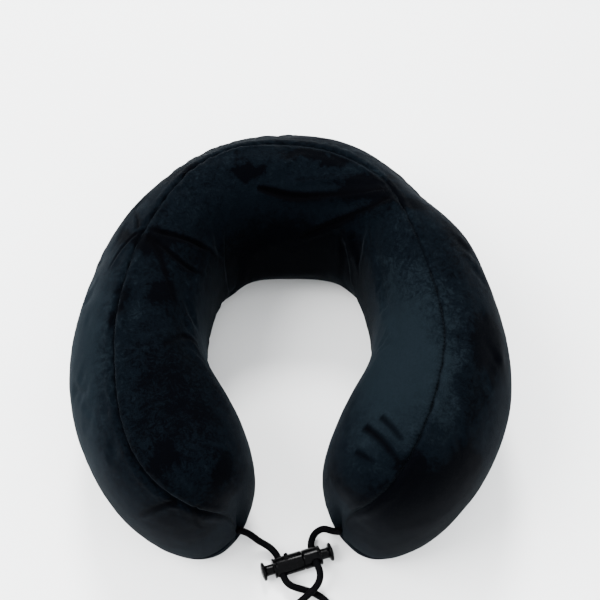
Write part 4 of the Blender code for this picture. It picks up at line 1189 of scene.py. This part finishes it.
def cover_piece(name, side, stations, angles, puff, look, node):
    points = filled_surface(stations, angles)
    if puff is not None:
        points = points + finer(puff, *angles.shape)
    out = normals_of(points)
    for edge in (0, -1):
        out[:, edge] = seam_normals(stations, angles[:, edge])
    first, last = edge_distance(points)
    top_away, low_away = (last, first) if side == "outer" else (first, last)
    seam_line = points[:, 0 if side == "neck" else -1]
    length = np.concatenate([[0], np.cumsum(np.linalg.norm(np.diff(seam_line, axis=0), axis=1))])[:, None]
    zipped = 1 - ease(ZIP_STATION, ZIP_STATION + 0.2, np.abs(stations))[:, None]
    height = -SEAM_ROLL * bell(top_away, SEAM_ROLL_WIDTH)
    height += SEAM_RIDGE * bell(top_away - 0.0046, 0.0030)
    height -= SEAM_ROLL * (1 - 0.75 * zipped) * bell(low_away, SEAM_ROLL_WIDTH)
    height += zipped * ZIP_RIDGE * bell(low_away - 0.0030, 0.0028)
    wander = lumps_of(points, 140, 3.0)
    pucker = np.cos(2 * math.pi * (length + PUCKER_WANDER * wander) / PUCKER_PITCH)
    pucker *= ease(1.4, 3.4, LAST_STATION - np.abs(stations))[:, None]
    uneven_pull = np.maximum(0, 0.5 + lumps_of(points, 30, 9.0))
    height += TOP_PUCKER * pucker * uneven_pull * bell(top_away, 0.0075)
    height += LOW_PUCKER * pucker * bell(low_away, 0.0060)
    creases, shade = crease_height(points, out)
    height += creases + BIG_LUMPS * lumps_of(points, 22, 5.0) + SMALL_LUMPS * lumps_of(points, 85, 7.0)
    fade = ease(0, 0.9, LAST_STATION - np.abs(stations))[:, None]
    points = points + out * (height * (0.15 + 0.85 * fade))[..., None]
    resting = points[..., 2] < 0.0012
    points[..., 2] = np.maximum(points[..., 2], np.where(resting, 0.0002, 0.0))
    piece = new_piece(name, points.reshape(-1, 3), grid_faces(*angles.shape), look, "pillow")
    uneven = ragged(points)
    # The nap value sums pile marks with painted shade at the gathers and on the back's inner wall, and a
    # painted sheen on the left arm's outside.
    nap_shade_sheen = 0.50 + marks_over(uneven, PILE_AND_GATHER_SHADE_MARKS, 0.35, 1.45) + marks_over(uneven, BROAD_PILE_SHEEN_AND_SHADE_MARKS, 0.1, 1.4)
    if side == "outer":
        nap_shade_sheen += marks_over(uneven, OUTER_MARKS, 0.3, 1.2)
    # The creases' shade is painted into the colour: it lowers the nap value and is also stored as a mark of
    # its own.
    store(piece.data, "nap_shade_sheen", nap_shade_sheen - 0.30 * shade)
    store(piece.data, "painted_crease_shade", shade)
    store(piece.data, "mottle", 1 + marks_over(points, CALM_MARKS, 0.5, 1.3))
    store(piece.data, "seam_away_mm", np.minimum(top_away, low_away + 4 * MM * zipped) / MM)
    store(piece.data, "seam_along_mm", np.broadcast_to(length, angles.shape) / MM)
    pulled = 0.15 + (0.85 if side == "neck" else 0.15) * bell(stations - 8.0, 3.2)[:, None]
    store(piece.data, "seam_ticks", pulled * (1 - ease(0.0008, 0.0042, top_away)))
    thickness = piece.modifiers.new("thickness", "SOLIDIFY")
    thickness.thickness = COVER_THICKNESS
    thickness.offset = -1
    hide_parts(node)
    return piece


INNER_SIDES = 96
INNER_TIP = (0.052, -0.130, 0.038)
LINER_DEPTH = 0.0062
FOAM_DEPTH = 0.0075


def inner_piece(name, depth, last, look, node):
    """A closed filling under the cover, at one depth, with blunt ends short of the cords' sewn ends."""
    stations = row_stations()[::SIM_STEP]
    stations = stations[np.abs(stations) <= last]
    turns = np.linspace(0, 2 * math.pi, INNER_SIDES, endpoint=False)
    angles = np.broadcast_to(turns, (len(stations), INNER_SIDES))
    points = filled_surface(stations, angles)
    rings = points - depth * normals_of(points)
    rings[..., 2] = np.maximum(rings[..., 2], depth)
    tips = {}
    for row, side in ((0, -1), (-1, 1)):
        middle = rings[row].mean(0)
        tip = np.array((side * INNER_TIP[0], *INNER_TIP[1:]))
        shares = np.array((0.15, 0.32, 0.5, 0.68, 0.84, 0.95))
        shrink = np.sqrt(1 - shares ** 2)
        tips[side] = np.array([middle + share * (tip - middle) + size * (rings[row] - middle)
                               for share, size in zip(shares, shrink)])
    rings = np.concatenate([tips[-1][::-1], rings, tips[1]])
    faces = tube_faces(*rings.shape[:2])
    piece = new_piece(name, rings.reshape(-1, 3), faces, look, "pillow")
    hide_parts(node)
    return piece


def make_pillow():
    stations = row_stations()
    panels = {side: panel_angles(stations, side) for side in ("outer", "neck")}
    puffs = {"outer": None, "neck": None}
    puffs["outer"], puffs["neck"] = cloth_puff(stations, panels)
    velour = velour_material()
    cover_piece("velour_outer_panel", "outer", stations, panels["outer"], puffs["outer"], velour,
                "cover_outer_panel")
    cover_piece("velour_neck_panel", "neck", stations, panels["neck"], puffs["neck"], velour,
                "cover_neck_panel")
    inner_piece("knitted_liner_bag", LINER_DEPTH, 11.0, liner_material(), "inner_liner")
    inner_piece("moulded_foam_core", FOAM_DEPTH, 10.9, foam_material(), "foam_core")


# ---- Zip ----


def zip_point(angle, rise, depth):
    """A point beside the zip's middle line: rise up the leaning wall, depth outward from it."""
    radius = ZIP_RADIUS + rise * math.sin(ZIP_LEAN) + depth * math.cos(ZIP_LEAN)
    level = ZIP_HEIGHT + rise * math.cos(ZIP_LEAN) - depth * math.sin(ZIP_LEAN)
    return Vector((radius * math.sin(angle), BACK_ARC_CENTRE_Y + radius * math.cos(angle), level))


# One nylon loop, as (rise from the zip's middle line, depth outward), and the rod that it is bent from.
TOOTH_LOOP = (
    (0.0019, 0.00036), (0.0012, 0.0003), (0.0004, 0.00036), (-0.0003, 0.00060),
    (-0.0004, 0.00085), (0.0004, 0.00098), (0.0012, 0.00098), (0.0019, 0.00094),
)
TOOTH_ROD = 0.00036
TOOTH_SIDES = 8
TOOTH_LEAN = 0.00005


def make_teeth(side_name, side, look):
    """Nylon loops along one tape, each a bent rod round the zip's middle line."""
    shape = bmesh.new()
    bottom = TAPE_THICKNESS + TOUCH_GAP
    reach = ZIP_ARC - 2 * STOP_LENGTH / ZIP_RADIUS
    count = int(2 * reach * ZIP_RADIUS / TOOTH_PITCH)
    last = len(TOOTH_LOOP) - 1
    for tooth in range(count):
        angle = -reach + (tooth + (0.25 if side > 0 else 0.75)) * TOOTH_PITCH / ZIP_RADIUS
        rings = []
        for step, (rise, depth) in enumerate(TOOTH_LOOP):
            lean = (step - last / 2) * TOOTH_LEAN / ZIP_RADIUS
            centre = zip_point(angle + lean, side * rise, bottom + depth - 0.0001)
            ahead, behind = (zip_point(angle + lean, side * TOOTH_LOOP[k][0], bottom + TOOTH_LOOP[k][1])
                             for k in (min(step + 1, last), max(step - 1, 0)))
            tangent = (ahead - behind).normalized()
            wide = Vector((math.cos(angle), -math.sin(angle), 0))
            up = tangent.cross(wide).normalized()
            rings.append([shape.verts.new(centre + TOOTH_ROD * (math.cos(a) * wide + math.sin(a) * up))
                          for a in (2 * math.pi * k / TOOTH_SIDES for k in range(TOOTH_SIDES))])
        for low, high in zip(rings, rings[1:]):
            for k in range(TOOTH_SIDES):
                m = (k + 1) % TOOTH_SIDES
                shape.faces.new((low[k], high[k], high[m], low[m]))
        shape.faces.new(rings[0])
        shape.faces.new(rings[-1])
    bmesh.ops.recalc_face_normals(shape, faces=shape.faces)
    mesh = as_mesh(shape, f"zip_teeth_{side_name}")
    teeth = finish_piece(f"zip_teeth_{side_name}", mesh, look, "pillow", 50)
    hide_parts(f"zipper_coil_{side_name}")


def make_zip():
    nylon, metal, tape = nylon_material(), painted_metal_material(), tape_material()
    for side_name, side in (("upper", 1), ("lower", -1)):
        make_teeth(side_name, side, nylon)
        dress(f"zipper_tape_{side_name}", tape)
    for name in ("zipper_stop_start", "zipper_stop_end", "zipper_slider", "zipper_pull"):
        dress(name, metal, rounded=0.00018)


def dress(node, look, rounded=0.0):
    """Gives a CAD node its material, and softened edges."""
    obj = frame["nodes"][node]
    obj.data.materials.clear()
    obj.data.materials.append(look)
    if rounded:
        bevel = obj.modifiers.new("rounded", "BEVEL")
        bevel.width = rounded
        bevel.segments = 3
        bevel.limit_method = "ANGLE"
        bevel.angle_limit = math.radians(35)


# ---- Stage ----


FLOOR_HALF = 3.0
FLOOR_STEPS = 24
FLOOR_LEVEL = -0.0001
WORLD_STRENGTH = 3.0
# Name, place, width and power. The overhead light gives the lock its bright line.
LIGHTS = (
    ("key", (-1.5, -0.2, 1.9), 1.6, 125),
    ("overhead", (-0.12, 1.5, 1.9), 0.6, 105),
    ("fill", (1.7, -0.9, 1.5), 1.4, 18),
)
LIGHT_TARGET = Vector((0, 0, 0.05))


def make_camera():
    data = bpy.data.cameras.new("camera")
    data.lens = CAMERA_LENS_MM
    camera = add_object("camera", data)
    back = Vector((0, -math.cos(CAMERA_TILT), math.sin(CAMERA_TILT)))
    camera.location = CAMERA_TARGET + CAMERA_DISTANCE * back
    camera.rotation_euler = (-back).to_track_quat("-Z", "Y").to_euler()
    bpy.context.scene.camera = camera


def add_light(name, place, size, energy):
    data = bpy.data.lights.new(name, "AREA")
    data.shape = "DISK"
    data.size = size
    data.energy = energy
    lamp = add_object(name, data)
    lamp.location = place
    lamp.rotation_euler = (LIGHT_TARGET - Vector(place)).to_track_quat("-Z", "Y").to_euler()


def make_stage():
    places = np.linspace(-FLOOR_HALF, FLOOR_HALF, FLOOR_STEPS)
    grid = np.array([[(x, y, FLOOR_LEVEL) for x in places] for y in places])
    faces = grid_faces(FLOOR_STEPS, FLOOR_STEPS)
    floor = new_piece("floor", grid.reshape(-1, 3), faces, floor_material(), None)
    world = bpy.data.worlds.new("studio")
    bpy.context.scene.world = world
    world.use_nodes = True
    background = world.node_tree.nodes["Background"]
    background.inputs["Color"].default_value = (0.96, 0.98, 1.0, 1)
    background.inputs["Strength"].default_value = WORLD_STRENGTH
    for light in LIGHTS:
        add_light(*light)


def main():
    make_camera()
    cords = make_cords(cord_material())
    lock_pieces = make_lock(plastic_material())
    make_pillow()
    make_zip()
    steel = steel_material()
    make_springs(steel)
    dress("latch_pivot_pin", steel)
    make_stage()


main()
